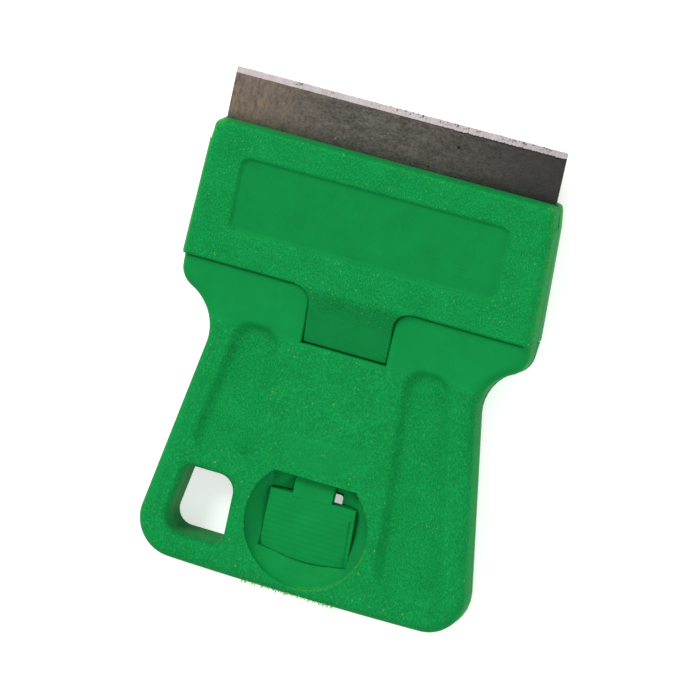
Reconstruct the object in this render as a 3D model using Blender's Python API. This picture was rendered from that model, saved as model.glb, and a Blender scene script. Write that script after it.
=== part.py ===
"""Pocket blade scraper with a sliding blade guard.

It lies on its back: +X to the right, +Y towards the cutting edge, +Z up out of the front face.
The origin is the middle of the base. The guard is drawn back, so the blade is out.
Places along the scraper are distances from the cutting edge, which at() turns into Y.
"""

import math

import bmesh
import bpy
from mathutils import Matrix, Vector

MM = 0.001

# Blade: a single-edge blade of sheet steel with a folded spine
BLADE_WIDTH = 39.0 * MM
BLADE_DEPTH = 19.0 * MM
BLADE_GAUGE = 0.23 * MM
GRIND_DEPTH = 0.7 * MM
EDGE_GAUGE = 0.03 * MM
BLADE_NOTCH_WIDTH = 3.0 * MM
BLADE_NOTCH_DEPTH = 1.7 * MM
BLADE_NOTCH_FROM_EDGE = 10.5 * MM
SPINE_DEPTH = 5.2 * MM
SPINE_SHEET = 0.33 * MM
SPINE_SETBACK = 0.3 * MM
CRIMP_GAP = 0.1 * MM

# Fits between pieces
SLIDE_FIT = 0.3 * MM
SEAT_FIT = 0.3 * MM
BLADE_FIT = 0.2 * MM
SEAM = 0.1 * MM

# Guard: the T-shaped head that slides over the blade
BLADE_EXPOSURE = 5.9 * MM
GUARD_TRAVEL = 6.4 * MM
GUARD_FOOT_MARGIN = 1.32 * MM
GUARD_THICKNESS = 6.3 * MM
GUARD_SIDE_WALL = 1.15 * MM
GUARD_TOP_TAPER = 0.77 * MM
GUARD_BEND_TAPER = 0.48 * MM
GUARD_BEND_FROM_TOP = 2.7 * MM
GUARD_WALL = 1.15 * MM
GUARD_LIP = 1.2 * MM
GUARD_SIDE_RADIUS = 1.3 * MM
GUARD_TOP_RADIUS = 0.7 * MM
GUARD_FOOT_RADIUS = 0.35 * MM
GUARD_BACK_RADIUS = 1.7 * MM
PANEL_WIDTH = 32.2 * MM
PANEL_HEIGHT = 8.9 * MM
PANEL_DEPTH = 0.5 * MM
PANEL_CORNER = 0.9 * MM
PANEL_FROM_TOP = 3.15 * MM

# Tongue of the guard, with the step and the tail that run inside the handle
TONGUE_WIDTH = 9.9 * MM
TONGUE_LENGTH = 6.5 * MM
TONGUE_FILLET = 2.0 * MM
TONGUE_EDGE_RADIUS = 0.15 * MM
TONGUE_FALL = 1.45 * MM
TONGUE_STEP = 0.9 * MM
STEP_INSET = 0.1 * MM
TONGUE_ROOT = 0.8 * MM
TONGUE_ROOT_SIDE = 0.25 * MM
TAIL_WIDTH = 9.4 * MM
TAIL_GAUGE = 0.8 * MM
TAIL_END_WALL = 1.2 * MM

# Handle: two shells that meet at a seam parallel to the base
GUARD_GAP = 0.3 * MM
HANDLE_LENGTH = 35.6 * MM
HANDLE_THICKNESS = 5.35 * MM
HANDLE_SEAM_HEIGHT = 2.0 * MM
HANDLE_BACK_WALL = 1.0 * MM
HANDLE_FRONT_WALL = 1.0 * MM
SHOULDER_INSET = 0.1 * MM
SHOULDER_FROM_TOP = 1.4 * MM
SHOULDER_RADIUS = 2.7 * MM
SHOULDER_RISE = 0.6 * MM
SLOPE_LENGTH = 6.5 * MM
WAIST_WIDTH = 32.3 * MM
WAIST_FROM_TOP = 9.1 * MM
WAIST_RADIUS = 5.5 * MM
END_WIDTH = 41.35 * MM
END_CORNER = 4.6 * MM
END_CROWN = 0.2 * MM
HANDLE_EDGE_RADIUS = 1.3 * MM
HANDLE_BACK_RADIUS = 1.5 * MM
HANDLE_TOP_EDGE_RADIUS = 0.3 * MM
NOTCH_SIDE_GAP = 0.2 * MM
NOTCH_END_GAP = 0.3 * MM
NOTCH_CORNER = 1.6 * MM
NOTCH_EDGE_RADIUS = 0.2 * MM
HANDLE_LEAN_SHARE = 0.05

# Finger grooves in the front shell
GROOVE_DEPTH = 0.95 * MM
GROOVE_FROM_TOP = 5.45 * MM
GROOVE_END_MARGIN = 3.5 * MM
SHORT_GROOVE_MARGIN = 1.15 * MM
GROOVE_TOP_INNER = 7.05 * MM
GROOVE_TOP_OUTER = 13.0 * MM
GROOVE_END_INNER = 8.8 * MM
SHORT_GROOVE_END_INNER = 7.45 * MM
GROOVE_END_OUTER = 17.55 * MM
GROOVE_CORNER = 2.5 * MM
GROOVE_WALL_RUN = 1.4 * MM

# Hanging hole
HANG_HOLE_FROM_END = 3.4 * MM
HANG_HOLE_LENGTH = 8.25 * MM
HANG_HOLE_INNER = 9.3 * MM
HANG_HOLE_SIDE_MARGIN = 3.3 * MM
HANG_HOLE_CORNER = 1.2 * MM
HANG_HOLE_LARGE_CORNER = 1.9 * MM
HANG_HOLE_RIM_RADIUS = 0.8 * MM

# Window, thumb dish and raised half-moon in the front shell
WINDOW_FROM_END = 13.9 * MM
WINDOW_TOP_WIDTH = 10.14 * MM
DISH_RADIUS = 7.33 * MM
DISH_DEPTH = 2.6 * MM
DISH_CENTRE_FROM_WINDOW = 5.3 * MM
HALF_MOON_FROM_WINDOW = 4.9 * MM
HALF_MOON_WIDTH = 9.2 * MM
HALF_MOON_LENGTH = 3.9 * MM
HALF_MOON_RISE = 0.1 * MM

# Opening in the back shell behind the tab
BACK_OPENING_WIDTH = 5.2 * MM
BACK_OPENING_FROM_WINDOW = 1.75 * MM
BACK_OPENING_LENGTH = 6.0 * MM
BACK_OPENING_CORNER = 0.3 * MM

# Press tab: a rocker with a pad, a neck, a round bar on two stub pins, an arm and a peg
PAD_FROM_WINDOW = 2.2 * MM
PAD_LENGTH = 6.95 * MM
PAD_TOP_WIDTH = 10.3 * MM
PAD_END_WIDTH = 10.58 * MM
PAD_BULGE = 0.7 * MM
PAD_GAUGE = 1.3 * MM
PAD_SETBACK = 1.05 * MM
PAD_FALL = 0.7 * MM
PAD_GAP = 0.2 * MM
PAD_EDGE_RADIUS = 0.3 * MM
NECK_WIDTH = 5.0 * MM
NECK_GAUGE = 0.95 * MM
HINGE_FROM_WINDOW = 1.3 * MM
HINGE_BAR_RADIUS = 0.7 * MM
HINGE_BAR_WIDTH = 9.2 * MM
HINGE_PIN_RADIUS = 0.65 * MM
HINGE_PIN_LENGTH = 1.3 * MM
HINGE_HEIGHT = 3.4 * MM
PIN_FIT = 0.1 * MM
ARM_WIDTH = 4.6 * MM
ARM_GAUGE = 0.7 * MM
ARM_DROP = 0.7 * MM
ARM_LENGTH = 7.4 * MM
PEG_WIDTH = 2.8 * MM
PEG_LENGTH = 1.6 * MM
PEG_ENGAGEMENT = 0.5 * MM

# Blade carrier: a slotted block with two legs held between the handle's shells
CARRIER_SETBACK = 1.5 * MM
CARRIER_BACK_WALL = 0.65 * MM
LEG_INNER = 7.5 * MM
LEG_OUTER = 14.4 * MM
LEG_LENGTH = 7.1 * MM
LEG_GAUGE = 2.0 * MM
PIN_RADIUS = 1.0 * MM
PIN_FROM_TOP = 3.9 * MM
PIN_SPREAD = 10.9 * MM
PIN_SEAT_RADIUS = 2.0 * MM
PIN_SOCKET_DEPTH = 0.9 * MM
LOWER_PIN_RADIUS = 0.8 * MM
LOWER_PIN_FROM_END = 14.2 * MM
LOWER_PIN_SPREAD = 16.5 * MM
LOWER_PIN_LENGTH = 2.0 * MM

# Rails on the back shell that guide the tail and carry the rocker's pins
RAIL_WIDTH = 1.1 * MM
RAIL_FROM_TOP = 8.6 * MM
SADDLE_LENGTH = 2.3 * MM
SADDLE_RISE = 0.7 * MM

# Hollows in the front shell, which keep its walls even
POCKET_CEILING = 3.2 * MM
POCKET_CORNER = 1.0 * MM
POCKET_INNER = 9.6 * MM
POCKET_OUTER_TOP = 13.9 * MM
POCKET_OUTER_END = 15.3 * MM
POCKET_FROM_TOP = 9.2 * MM
LONG_POCKET_MARGIN = 4.4 * MM
SHORT_POCKET_MARGIN = 2.7 * MM

OVERRUN = 2.0 * MM
CUT_TOLERANCE = 0.0002 * MM

# Faceting
ARC_STEPS = 8
SMALL_ARC_STEPS = 2
SMALL_ARC_RADIUS = 0.6 * MM
FILLET_STEPS = 4
SLOPE_STEPS = 6
ROUND_STEPS = 20
DISH_STEPS = 8
DISH_SIDES = 40
SMOOTH_ANGLE = math.radians(35)
SAME_DIRECTION = math.radians(12)

# Places that follow from the sizes
SPINE_BACK = BLADE_DEPTH + CRIMP_GAP + SPINE_SHEET
CARRIER_BACK = SPINE_BACK + BLADE_FIT + CARRIER_BACK_WALL
GUARD_FOOT = CARRIER_BACK + GUARD_FOOT_MARGIN
TONGUE_END = GUARD_FOOT + TONGUE_LENGTH
STEP_FRONT = TONGUE_END - TONGUE_STEP
HANDLE_TOP = GUARD_FOOT + GUARD_GAP
LENGTH = HANDLE_TOP + HANDLE_LENGTH
BLADE_HEIGHT = GUARD_THICKNESS / 2
BLADE_SLOT = BLADE_GAUGE / 2 + BLADE_FIT
CAVITY_WIDTH = BLADE_WIDTH + 2 * BLADE_FIT
GUARD_FOOT_WIDTH = CAVITY_WIDTH + 2 * GUARD_SIDE_WALL
GUARD_BEND_WIDTH = GUARD_FOOT_WIDTH - 2 * GUARD_BEND_TAPER
GUARD_TOP_WIDTH = GUARD_FOOT_WIDTH - 2 * GUARD_TOP_TAPER
SHOULDER_WIDTH = GUARD_FOOT_WIDTH - 2 * SHOULDER_INSET
CAVITY_TOP = GUARD_THICKNESS - GUARD_WALL
SPINE_THICKNESS = BLADE_GAUGE + 2 * (CRIMP_GAP + SPINE_SHEET)
SPINE_TOP = BLADE_HEIGHT + SPINE_THICKNESS / 2
TONGUE_UNDERSIDE = SPINE_TOP + SLIDE_FIT
CORRIDOR_CEILING = HANDLE_THICKNESS - HANDLE_FRONT_WALL
TAIL_BOTTOM = HANDLE_BACK_WALL + SLIDE_FIT
TAIL_TOP = TAIL_BOTTOM + TAIL_GAUGE
WINDOW_TOP = LENGTH - WINDOW_FROM_END
HINGE = WINDOW_TOP - HINGE_FROM_WINDOW
ARM_FRONT = HINGE - ARM_LENGTH
ARM_BOTTOM = HINGE_HEIGHT - ARM_DROP
PEG_BACK = ARM_FRONT + PEG_LENGTH
TAIL_SLOT_FRONT = ARM_FRONT - SLIDE_FIT
TAIL_SLOT_BACK = PEG_BACK + SLIDE_FIT + GUARD_TRAVEL
TAIL_END = TAIL_SLOT_BACK + TAIL_END_WALL
CARRIER_FRONT = BLADE_EXPOSURE + CARRIER_SETBACK
CARRIER_BOTTOM = GUARD_WALL + SLIDE_FIT
CARRIER_TOP = CAVITY_TOP - SLIDE_FIT
CARRIER_WIDTH = CAVITY_WIDTH - 2 * SLIDE_FIT
LEG_END = HANDLE_TOP + LEG_LENGTH
LEG_TOP = CARRIER_BOTTOM + LEG_GAUGE
PIN_TOP = LEG_TOP + PIN_SOCKET_DEPTH
RAIL_INNER = TAIL_WIDTH / 2 + SLIDE_FIT
CORRIDOR_WIDTH = 2 * (RAIL_INNER + RAIL_WIDTH + SEAT_FIT)
PAD_TOP = WINDOW_TOP + PAD_FROM_WINDOW
PAD_END = PAD_TOP + PAD_LENGTH
PAD_HEIGHT = HANDLE_THICKNESS - PAD_SETBACK
DISH_CENTRE = WINDOW_TOP + DISH_CENTRE_FROM_WINDOW
HANG_HOLE_TOP = LENGTH - HANG_HOLE_FROM_END - HANG_HOLE_LENGTH
GROOVE_TOP = HANDLE_TOP + GROOVE_FROM_TOP
GROOVE_LENGTH = LENGTH - GROOVE_END_MARGIN - GROOVE_TOP
SHORT_GROOVE_LENGTH = HANG_HOLE_TOP - SHORT_GROOVE_MARGIN - GROOVE_TOP
POCKET_TOP = HANDLE_TOP + POCKET_FROM_TOP
LONG_POCKET_LENGTH = LENGTH - LONG_POCKET_MARGIN - POCKET_TOP
SHORT_POCKET_LENGTH = HANG_HOLE_TOP - SHORT_POCKET_MARGIN - POCKET_TOP


def at(distance):
    """The Y of a place this far from the cutting edge."""
    return LENGTH / 2 - distance


def clear_scene():
    for obj in list(bpy.data.objects):
        bpy.data.objects.remove(obj, do_unlink=True)


def make_material(name, colour, roughness, metallic=0.0):
    material = bpy.data.materials.new(name)
    material.use_nodes = True
    shader = material.node_tree.nodes["Principled BSDF"]
    shader.inputs["Base Color"].default_value = (*colour, 1.0)
    shader.inputs["Roughness"].default_value = roughness
    shader.inputs["Metallic"].default_value = metallic
    material.diffuse_color = (*colour, 1.0)
    return material


# Outlines are lists of (X, Y) points that run anticlockwise


def arc(centre, radius, start, end, steps=ARC_STEPS):
    """Points from one angle to another, both in degrees, with both ends."""
    angles = [math.radians(start + (end - start) * i / steps) for i in range(steps + 1)]
    return [(centre[0] + radius * math.cos(a), centre[1] + radius * math.sin(a)) for a in angles]


def circle(centre, radius, steps=ROUND_STEPS):
    return arc(centre, radius, 0, 360, steps)[:-1]


def round_corners(corners, radii):
    """The outline with each corner replaced by an arc of its own radius."""
    outline = []
    count = len(corners)
    for i, radius in enumerate(radii):
        here = Vector(corners[i])
        back = (Vector(corners[i - 1]) - here).normalized()
        ahead = (Vector(corners[(i + 1) % count]) - here).normalized()
        half = back.angle(ahead) / 2
        reach = radius / math.tan(half)
        centre = here + (back + ahead).normalized() * radius / math.sin(half)
        first = here + back * reach - centre
        last = here + ahead * reach - centre
        start = math.atan2(first.y, first.x)
        sweep = math.atan2(first.x * last.y - first.y * last.x, first.dot(last))
        steps = ARC_STEPS if radius > SMALL_ARC_RADIUS else SMALL_ARC_STEPS
        outline += arc(centre, radius, math.degrees(start), math.degrees(start + sweep), steps)
    return outline


def rectangle(half_width, start, end):
    """The corners of a rectangle about X = 0 between two distances from the cutting edge."""
    return [(-half_width, at(end)), (half_width, at(end)), (half_width, at(start)), (-half_width, at(start))]


def mirrored(right_half):
    """The whole outline of a shape that is symmetric about X = 0, from its right half."""
    return right_half + [(-x, y) for x, y in reversed(right_half) if x > 0]


def inset(outline, distances):
    """The outline with each side moved inwards by its own distance."""
    count = len(outline)
    points = [Vector(p) for p in outline]
    sides = [(points[(i + 1) % count] - points[i]).normalized() for i in range(count)]
    normals = [Vector((-s.y, s.x)) for s in sides]
    moved = []
    for i in range(count):
        before, after = normals[i - 1], normals[i]
        a, b = distances[i - 1], distances[i]
        turn = before.x * after.y - before.y * after.x
        if abs(turn) < math.sin(SAME_DIRECTION):
            shift = (before + after).normalized() * (a + b) / 2
        else:
            shift = Vector((a * after.y - b * before.y, b * before.x - a * after.x)) / turn
        moved.append(points[i] + shift)
    return moved


def grown(outline, distance):
    return [tuple(p) for p in inset(outline, [-distance] * len(outline))]


# Solids


def new_object(name, mesh, material=None):
    obj = bpy.data.objects.new(name, mesh)
    bpy.context.scene.collection.objects.link(obj)
    if material is not None:
        mesh.materials.append(material)
    return obj


def finish_mesh(name, bm):
    bmesh.ops.recalc_face_normals(bm, faces=bm.faces)
    mesh = bpy.data.meshes.new(name)
    bm.to_mesh(mesh)
    bm.free()
    mesh.shade_smooth()
    mesh.set_sharp_from_angle(angle=SMOOTH_ANGLE)
    return mesh


def stack_rings(rings):
    """A closed bmesh through rings of as many points each, with flat ends."""
    bm = bmesh.new()
    loops = [[bm.verts.new(point) for point in ring] for ring in rings]
    count = len(loops[0])
    for lower, upper in zip(loops, loops[1:]):
        for i in range(count):
            bm.faces.new((lower[i], lower[(i + 1) % count], upper[(i + 1) % count], upper[i]))
    bm.faces.new(list(reversed(loops[0])))
    bm.faces.new(loops[-1])
    return bm


def prism(name, outline, low, high, material=None):
    """A solid of one outline between two heights."""
    rings = [[(x, y, z) for x, y in outline] for z in (low, high)]
    return new_object(name, finish_mesh(name, stack_rings(rings)), material)


def cross_prism(name, profile, start, end, material=None):
    """A solid whose profile, in distances from the cutting edge and heights, runs between two X."""
    rings = [[(x, at(d), z) for d, z in profile] for x in (start, end)]
    return new_object(name, finish_mesh(name, stack_rings(rings)), material)


def box(name, low, high):
    """A box between two corners, each an X, a distance from the cutting edge and a height."""
    corners = [(low[0], at(high[1])), (high[0], at(high[1])), (high[0], at(low[1])), (low[0], at(low[1]))]
    return prism(name, corners, low[2], high[2])


def pair(name, low, high):
    """The same box on the right and on the left, from the right one's corners."""
    return [
        box(f"{name}_right", low, high),
        box(f"{name}_left", (-high[0], *low[1:]), (-low[0], *high[1:])),
    ]


def cross_bar(name, place, radius, start, end):
    """A round bar along X through a place given as a distance and a height."""
    return cross_prism(name, circle(place, radius), start, end)


def plate_mesh(plate, low, high, lean=0.0):
    """A plate whose upper edges are rounded, each by its own radius.

    Its sides lean inwards by a share of that radius. The plate is an outline with the edge radius
    of each of its sides.
    """
    outline, radii = plate
    rings = [[(x, y, low) for x, y in outline]]
    for step in range(FILLET_STEPS + 1):
        angle = math.pi / 2 * step / FILLET_STEPS
        ring = []
        insets = [r * (lean + 1 - math.cos(angle)) for r in radii]
        for i, point in enumerate(inset(outline, insets)):
            radius = (radii[i - 1] + radii[i]) / 2
            ring.append((point.x, point.y, high - radius * (1 - math.sin(angle))))
        rings.append(ring)
    return stack_rings(rings)


def mirror_plate(right, radii, closing):
    """A whole plate from its right half.

    radii are the edge radii of the sides that follow each point, the last one across the middle.
    closing is that of the side back to the first point, where this lies off the middle.
    """
    sides = radii + list(reversed(radii[:-1]))
    if right[0][0] > 0:
        sides.append(closing)
    return mirrored(right), sides


def bend_plate(bm, low, high, start, end, rise):
    """Raises the plate's upper face by rise(distance) between two distances, and keeps its base."""
    for step in range(SLOPE_STEPS + 1):
        bmesh.ops.bisect_plane(
            bm,
            geom=bm.verts[:] + bm.edges[:] + bm.faces[:],
            plane_co=(0, at(start + (end - start) * step / SLOPE_STEPS), 0),
            plane_no=(0, 1, 0),
            dist=CUT_TOLERANCE,
        )
    for vert in bm.verts:
        share = (vert.co.z - low) / (high - low)
        vert.co.z += share * rise(LENGTH / 2 - vert.co.y)
    return bm


def turn_over(bm, height):
    """Swaps the plate's upper and lower faces about the middle of this height."""
    for vert in bm.verts:
        vert.co.z = height - vert.co.z
    return bm


def hide(cutter):
    cutter.hide_render = True
    cutter.display_type = "WIRE"
    return cutter


def combine(target, tool, operation):
    modifier = target.modifiers.new(f"{operation.title()} {tool.name}", "BOOLEAN")
    modifier.operation = operation
    modifier.object = hide(tool)
    modifier.solver = "EXACT"


def cut(target, *tools):
    for tool in tools:
        combine(target, tool, "DIFFERENCE")


def join(target, *tools):
    for tool in tools:
        combine(target, tool, "UNION")


def put_origin(obj, place):
    """Moves the object's origin to a place without moving its shape."""
    obj.data.transform(Matrix.Translation(-Vector(place)))
    obj.location = place


def hang_on(pieces, name, place):
    """Parents the pieces to an empty on their joint's axis, without moving them."""
    empty = bpy.data.objects.new(name, None)
    bpy.context.scene.collection.objects.link(empty)
    empty.location = place
    for piece in pieces:
        piece.parent = empty
        piece.matrix_parent_inverse = Matrix.Translation(-Vector(place))


# Shapes that several pieces share


def head_right_side():
    """The right side of the head from its foot to its top, with its rounded top corner."""
    top = at(BLADE_EXPOSURE)
    corner = (GUARD_TOP_WIDTH / 2 - GUARD_TOP_RADIUS, top - GUARD_TOP_RADIUS)
    side = [
        (GUARD_FOOT_WIDTH / 2, at(GUARD_FOOT)),
        (GUARD_BEND_WIDTH / 2, at(BLADE_EXPOSURE + GUARD_BEND_FROM_TOP)),
    ]
    return side + arc(corner, GUARD_TOP_RADIUS, 0, 90, SMALL_ARC_STEPS)


def handle_right_side():
    """The right side of the handle from its rounded end corner up to its top."""
    run = HANDLE_LENGTH - WAIST_FROM_TOP
    lean = math.atan2((END_WIDTH - WAIST_WIDTH) / 2, run)
    degrees = math.degrees(lean)
    outwards = Vector((math.cos(lean), math.sin(lean)))
    upwards = Vector((-math.sin(lean), math.cos(lean)))
    # The hollow of the waist touches the straight side below it and the round shoulder above it.
    waist = Vector((WAIST_WIDTH / 2, at(HANDLE_TOP + WAIST_FROM_TOP)))
    shoulder = Vector((SHOULDER_WIDTH / 2 - SHOULDER_RADIUS, at(HANDLE_TOP + SHOULDER_FROM_TOP)))
    beside = waist + outwards * WAIST_RADIUS
    reach = shoulder - beside
    drop = math.sqrt((SHOULDER_RADIUS + WAIST_RADIUS) ** 2 - reach.dot(outwards) ** 2)
    hollow = beside + upwards * (reach.dot(upwards) - drop)
    towards = shoulder - hollow
    meet = math.degrees(math.atan2(towards.y, towards.x))
    # The end corner touches the side line and the end.
    corner_side = END_WIDTH / 2 - END_CORNER * (1 / math.cos(lean) + math.tan(lean))
    corner = Vector((corner_side, at(LENGTH) + END_CROWN + END_CORNER))
    points = arc(corner, END_CORNER, -90, degrees)
    points += arc(hollow, WAIST_RADIUS, 180 + degrees, meet)
    points += arc(shoulder, SHOULDER_RADIUS, meet - 180, 0)[1:]
    points.append((SHOULDER_WIDTH / 2, at(HANDLE_TOP)))
    return points


def handle_end():
    """The crowned end of the handle, from its middle to its right corner."""
    corner = handle_right_side()[0]
    shares = [i / ARC_STEPS for i in range(ARC_STEPS)]
    return [(corner[0] * s, at(LENGTH) + END_CROWN * s * s) for s in shares]


def handle_side_points():
    """The end and the right side, from the middle of the end to the top of the shoulder."""
    return handle_end() + handle_right_side()


def side_half_width(distance):
    """Half the handle's width along its straight sides."""
    share = (distance - HANDLE_TOP - WAIST_FROM_TOP) / (HANDLE_LENGTH - WAIST_FROM_TOP)
    return (WAIST_WIDTH + (END_WIDTH - WAIST_WIDTH) * share) / 2


def hang_hole_outline():
    top = HANG_HOLE_TOP
    end = top + HANG_HOLE_LENGTH
    corners = [
        (HANG_HOLE_SIDE_MARGIN - side_half_width(end), at(end)),
        (-HANG_HOLE_INNER, at(end)),
        (-HANG_HOLE_INNER, at(top)),
        (HANG_HOLE_SIDE_MARGIN - side_half_width(top), at(top)),
    ]
    large, small = HANG_HOLE_LARGE_CORNER, HANG_HOLE_CORNER
    return round_corners(corners, (large, small, large, small))


def hang_hole(name):
    """A cutter for the hanging hole, flared at its front rim."""
    outline = hang_hole_outline()
    rings = [[(x, y, -OVERRUN) for x, y in outline]]
    for step in range(FILLET_STEPS + 1):
        angle = math.pi / 2 * step / FILLET_STEPS
        growth = HANG_HOLE_RIM_RADIUS * (1 - math.cos(angle))
        height = HANDLE_THICKNESS - HANG_HOLE_RIM_RADIUS * (1 - math.sin(angle))
        rings.append([(x, y, height) for x, y in grown(outline, growth)])
    rings.append([(x, y, HANDLE_THICKNESS + OVERRUN) for x, y, _ in rings[-1]])
    return new_object(name, finish_mesh(name, stack_rings(rings)))


def pad_right_half(gap=0.0):
    """The right half of the press pad, from the middle of its bulging end to its top corner."""
    end = PAD_END + gap
    half_end = PAD_END_WIDTH / 2 + gap
    shares = [i / ARC_STEPS for i in range(ARC_STEPS + 1)]
    bulge = [(half_end * s, at(end + PAD_BULGE * (1 - s * s))) for s in shares]
    return bulge + [(PAD_TOP_WIDTH / 2 + gap, at(PAD_TOP - gap))]


def window_outline():
    return mirrored(pad_right_half(PAD_GAP) + [(WINDOW_TOP_WIDTH / 2, at(WINDOW_TOP))])


def pocket(name, side, length, low, high):
    """A cutter for one long hollow, on the right where side is 1 and on the left where it is -1."""
    outer_end = POCKET_OUTER_TOP + (POCKET_OUTER_END - POCKET_OUTER_TOP) * length / LONG_POCKET_LENGTH
    corners = [
        (POCKET_INNER, at(POCKET_TOP + length)),
        (outer_end, at(POCKET_TOP + length)),
        (POCKET_OUTER_TOP, at(POCKET_TOP)),
        (POCKET_INNER, at(POCKET_TOP)),
    ]
    outline = round_corners(corners, [POCKET_CORNER] * len(corners))
    return prism(name, [(side * x, y) for x, y in outline], low, high)


def pockets(name, low, high):
    return [
        pocket(f"{name}_right", 1, LONG_POCKET_LENGTH, low, high),
        pocket(f"{name}_left", -1, SHORT_POCKET_LENGTH, low, high),
    ]


def pin_places():
    """The centres of the two pins that hold the carrier's legs."""
    return [(side * PIN_SPREAD, at(HANDLE_TOP + PIN_FROM_TOP)) for side in (-1, 1)]


def lower_pin_places():
    return [(side * LOWER_PIN_SPREAD, at(LENGTH - LOWER_PIN_FROM_END)) for side in (-1, 1)]


def posts(name, places, radius, low, high):
    """A round post or hole at each place."""
    return [prism(f"{name}_{i}", circle(place, radius), low, high) for i, place in enumerate(places)]


# Blade


def build_blade(steel):
    """The blade, with a round notch in each side and an edge ground from both faces."""
    half = BLADE_WIDTH / 2
    radius = BLADE_NOTCH_WIDTH / 2
    bottom = half - BLADE_NOTCH_DEPTH + radius
    right = [(half, at(BLADE_DEPTH)), (half, at(BLADE_NOTCH_FROM_EDGE + radius))]
    right += arc((bottom, at(BLADE_NOTCH_FROM_EDGE)), radius, 270, 90)
    right += [(half, at(BLADE_NOTCH_FROM_EDGE - radius)), (half, at(GRIND_DEPTH)), (half, at(0))]
    outline = mirrored(right)
    low = BLADE_HEIGHT - BLADE_GAUGE / 2
    bm = stack_rings([[(x, y, z) for x, y in outline] for z in (low, low + BLADE_GAUGE)])
    bmesh.ops.bisect_plane(
        bm,
        geom=bm.verts[:] + bm.edges[:] + bm.faces[:],
        plane_co=(0, at(GRIND_DEPTH), 0),
        plane_no=(0, 1, 0),
        dist=CUT_TOLERANCE,
    )
    for vert in bm.verts:
        if vert.co.y > at(GRIND_DEPTH / 2):
            vert.co.z = BLADE_HEIGHT + math.copysign(EDGE_GAUGE / 2, vert.co.z - BLADE_HEIGHT)
    return new_object("blade", finish_mesh("blade", bm), steel)


def build_spine(steel):
    """A strip folded over the back of the blade."""
    front = SPINE_BACK - SPINE_DEPTH
    outer = SPINE_THICKNESS / 2
    inner = outer - SPINE_SHEET
    turn = SPINE_BACK - outer
    bottom = SPINE_BACK - SPINE_SHEET
    profile = [(front, BLADE_HEIGHT - outer)]
    profile += arc((turn, BLADE_HEIGHT), outer, -90, 90)
    profile += [(front, BLADE_HEIGHT + outer), (front, BLADE_HEIGHT + inner)]
    profile += [(bottom, BLADE_HEIGHT + inner), (bottom, BLADE_HEIGHT - inner), (front, BLADE_HEIGHT - inner)]
    half = BLADE_WIDTH / 2 - SPINE_SETBACK
    return cross_prism("blade_spine", profile, -half, half, steel)


# Guard


def tongue_drop(distance):
    """How far the tongue's face lies below the head's face at this distance."""
    share = min(max((distance - GUARD_FOOT) / TONGUE_LENGTH, 0), 1)
    return -TONGUE_FALL * share


def blade_mouth(name, low, high):
    """A cutter for the slot in the guard's lip that the blade comes out of."""
    half = CAVITY_WIDTH / 2
    inner_end = BLADE_EXPOSURE + GUARD_LIP + SLIDE_FIT
    return box(name, (-half, BLADE_EXPOSURE - OVERRUN, low), (half, inner_end, high))


def build_guard_front(plastic):
    """The T-shaped head with its sunken panel, its tongue, and the slotted tail behind a step."""
    half = TONGUE_WIDTH / 2
    fillet_centre = (half + TONGUE_FILLET, at(GUARD_FOOT + TONGUE_FILLET))
    tongue = [(half, at(TONGUE_END))] + arc(fillet_centre, TONGUE_FILLET, 180, 90)
    side = head_right_side()
    radii = [TONGUE_EDGE_RADIUS] + [GUARD_FOOT_RADIUS] * (len(tongue) - 1)
    radii += [GUARD_SIDE_RADIUS] * (len(side) - 1) + [GUARD_TOP_RADIUS]
    plate = mirror_plate(tongue + side, radii, TONGUE_EDGE_RADIUS)
    low = BLADE_HEIGHT + SEAM / 2
    bm = plate_mesh(plate, low, GUARD_THICKNESS)
    bend_plate(bm, low, GUARD_THICKNESS, GUARD_FOOT, TONGUE_END, tongue_drop)
    guard = new_object("guard_front_shell", finish_mesh("guard_front_shell", bm), plastic)

    inside = CAVITY_WIDTH / 2
    root_front = GUARD_FOOT - TONGUE_ROOT
    root_side = half + TONGUE_FILLET + TONGUE_ROOT_SIDE
    below = low - OVERRUN
    panel_top = BLADE_EXPOSURE + PANEL_FROM_TOP
    panel_corners = rectangle(PANEL_WIDTH / 2, panel_top, panel_top + PANEL_HEIGHT)
    panel = round_corners(panel_corners, [PANEL_CORNER] * len(panel_corners))
    foot_opening = pair(
        "head_foot_opening",
        (root_side, root_front - OVERRUN, below),
        (inside, GUARD_FOOT + OVERRUN, CAVITY_TOP),
    )
    cut(
        guard,
        box("head_cavity", (-inside, BLADE_EXPOSURE + GUARD_LIP, below), (inside, root_front, CAVITY_TOP)),
        *foot_opening,
        box("tongue_hollow", (-inside, root_front - OVERRUN, below), (inside, STEP_FRONT, TONGUE_UNDERSIDE)),
        blade_mouth("front_mouth", below, BLADE_HEIGHT + BLADE_SLOT),
        prism("panel_recess", panel, GUARD_THICKNESS - PANEL_DEPTH, GUARD_THICKNESS + OVERRUN),
    )
    step_front, step_back = STEP_FRONT + STEP_INSET, TONGUE_END - STEP_INSET
    tail_profile = [
        (step_front, TAIL_BOTTOM),
        (TAIL_END, TAIL_BOTTOM),
        (TAIL_END, TAIL_TOP),
        (step_back, TAIL_TOP),
        (step_back, TONGUE_UNDERSIDE),
        (step_front, TONGUE_UNDERSIDE),
    ]
    join(guard, cross_prism("step_and_tail", tail_profile, -TAIL_WIDTH / 2, TAIL_WIDTH / 2))
    slot = PEG_WIDTH / 2 + SLIDE_FIT
    cut(
        guard,
        box(
            "tail_slot",
            (-slot, TAIL_SLOT_FRONT, TAIL_BOTTOM - OVERRUN / 2),
            (slot, TAIL_SLOT_BACK, TAIL_TOP + OVERRUN / 2),
        ),
    )
    return guard


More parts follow.
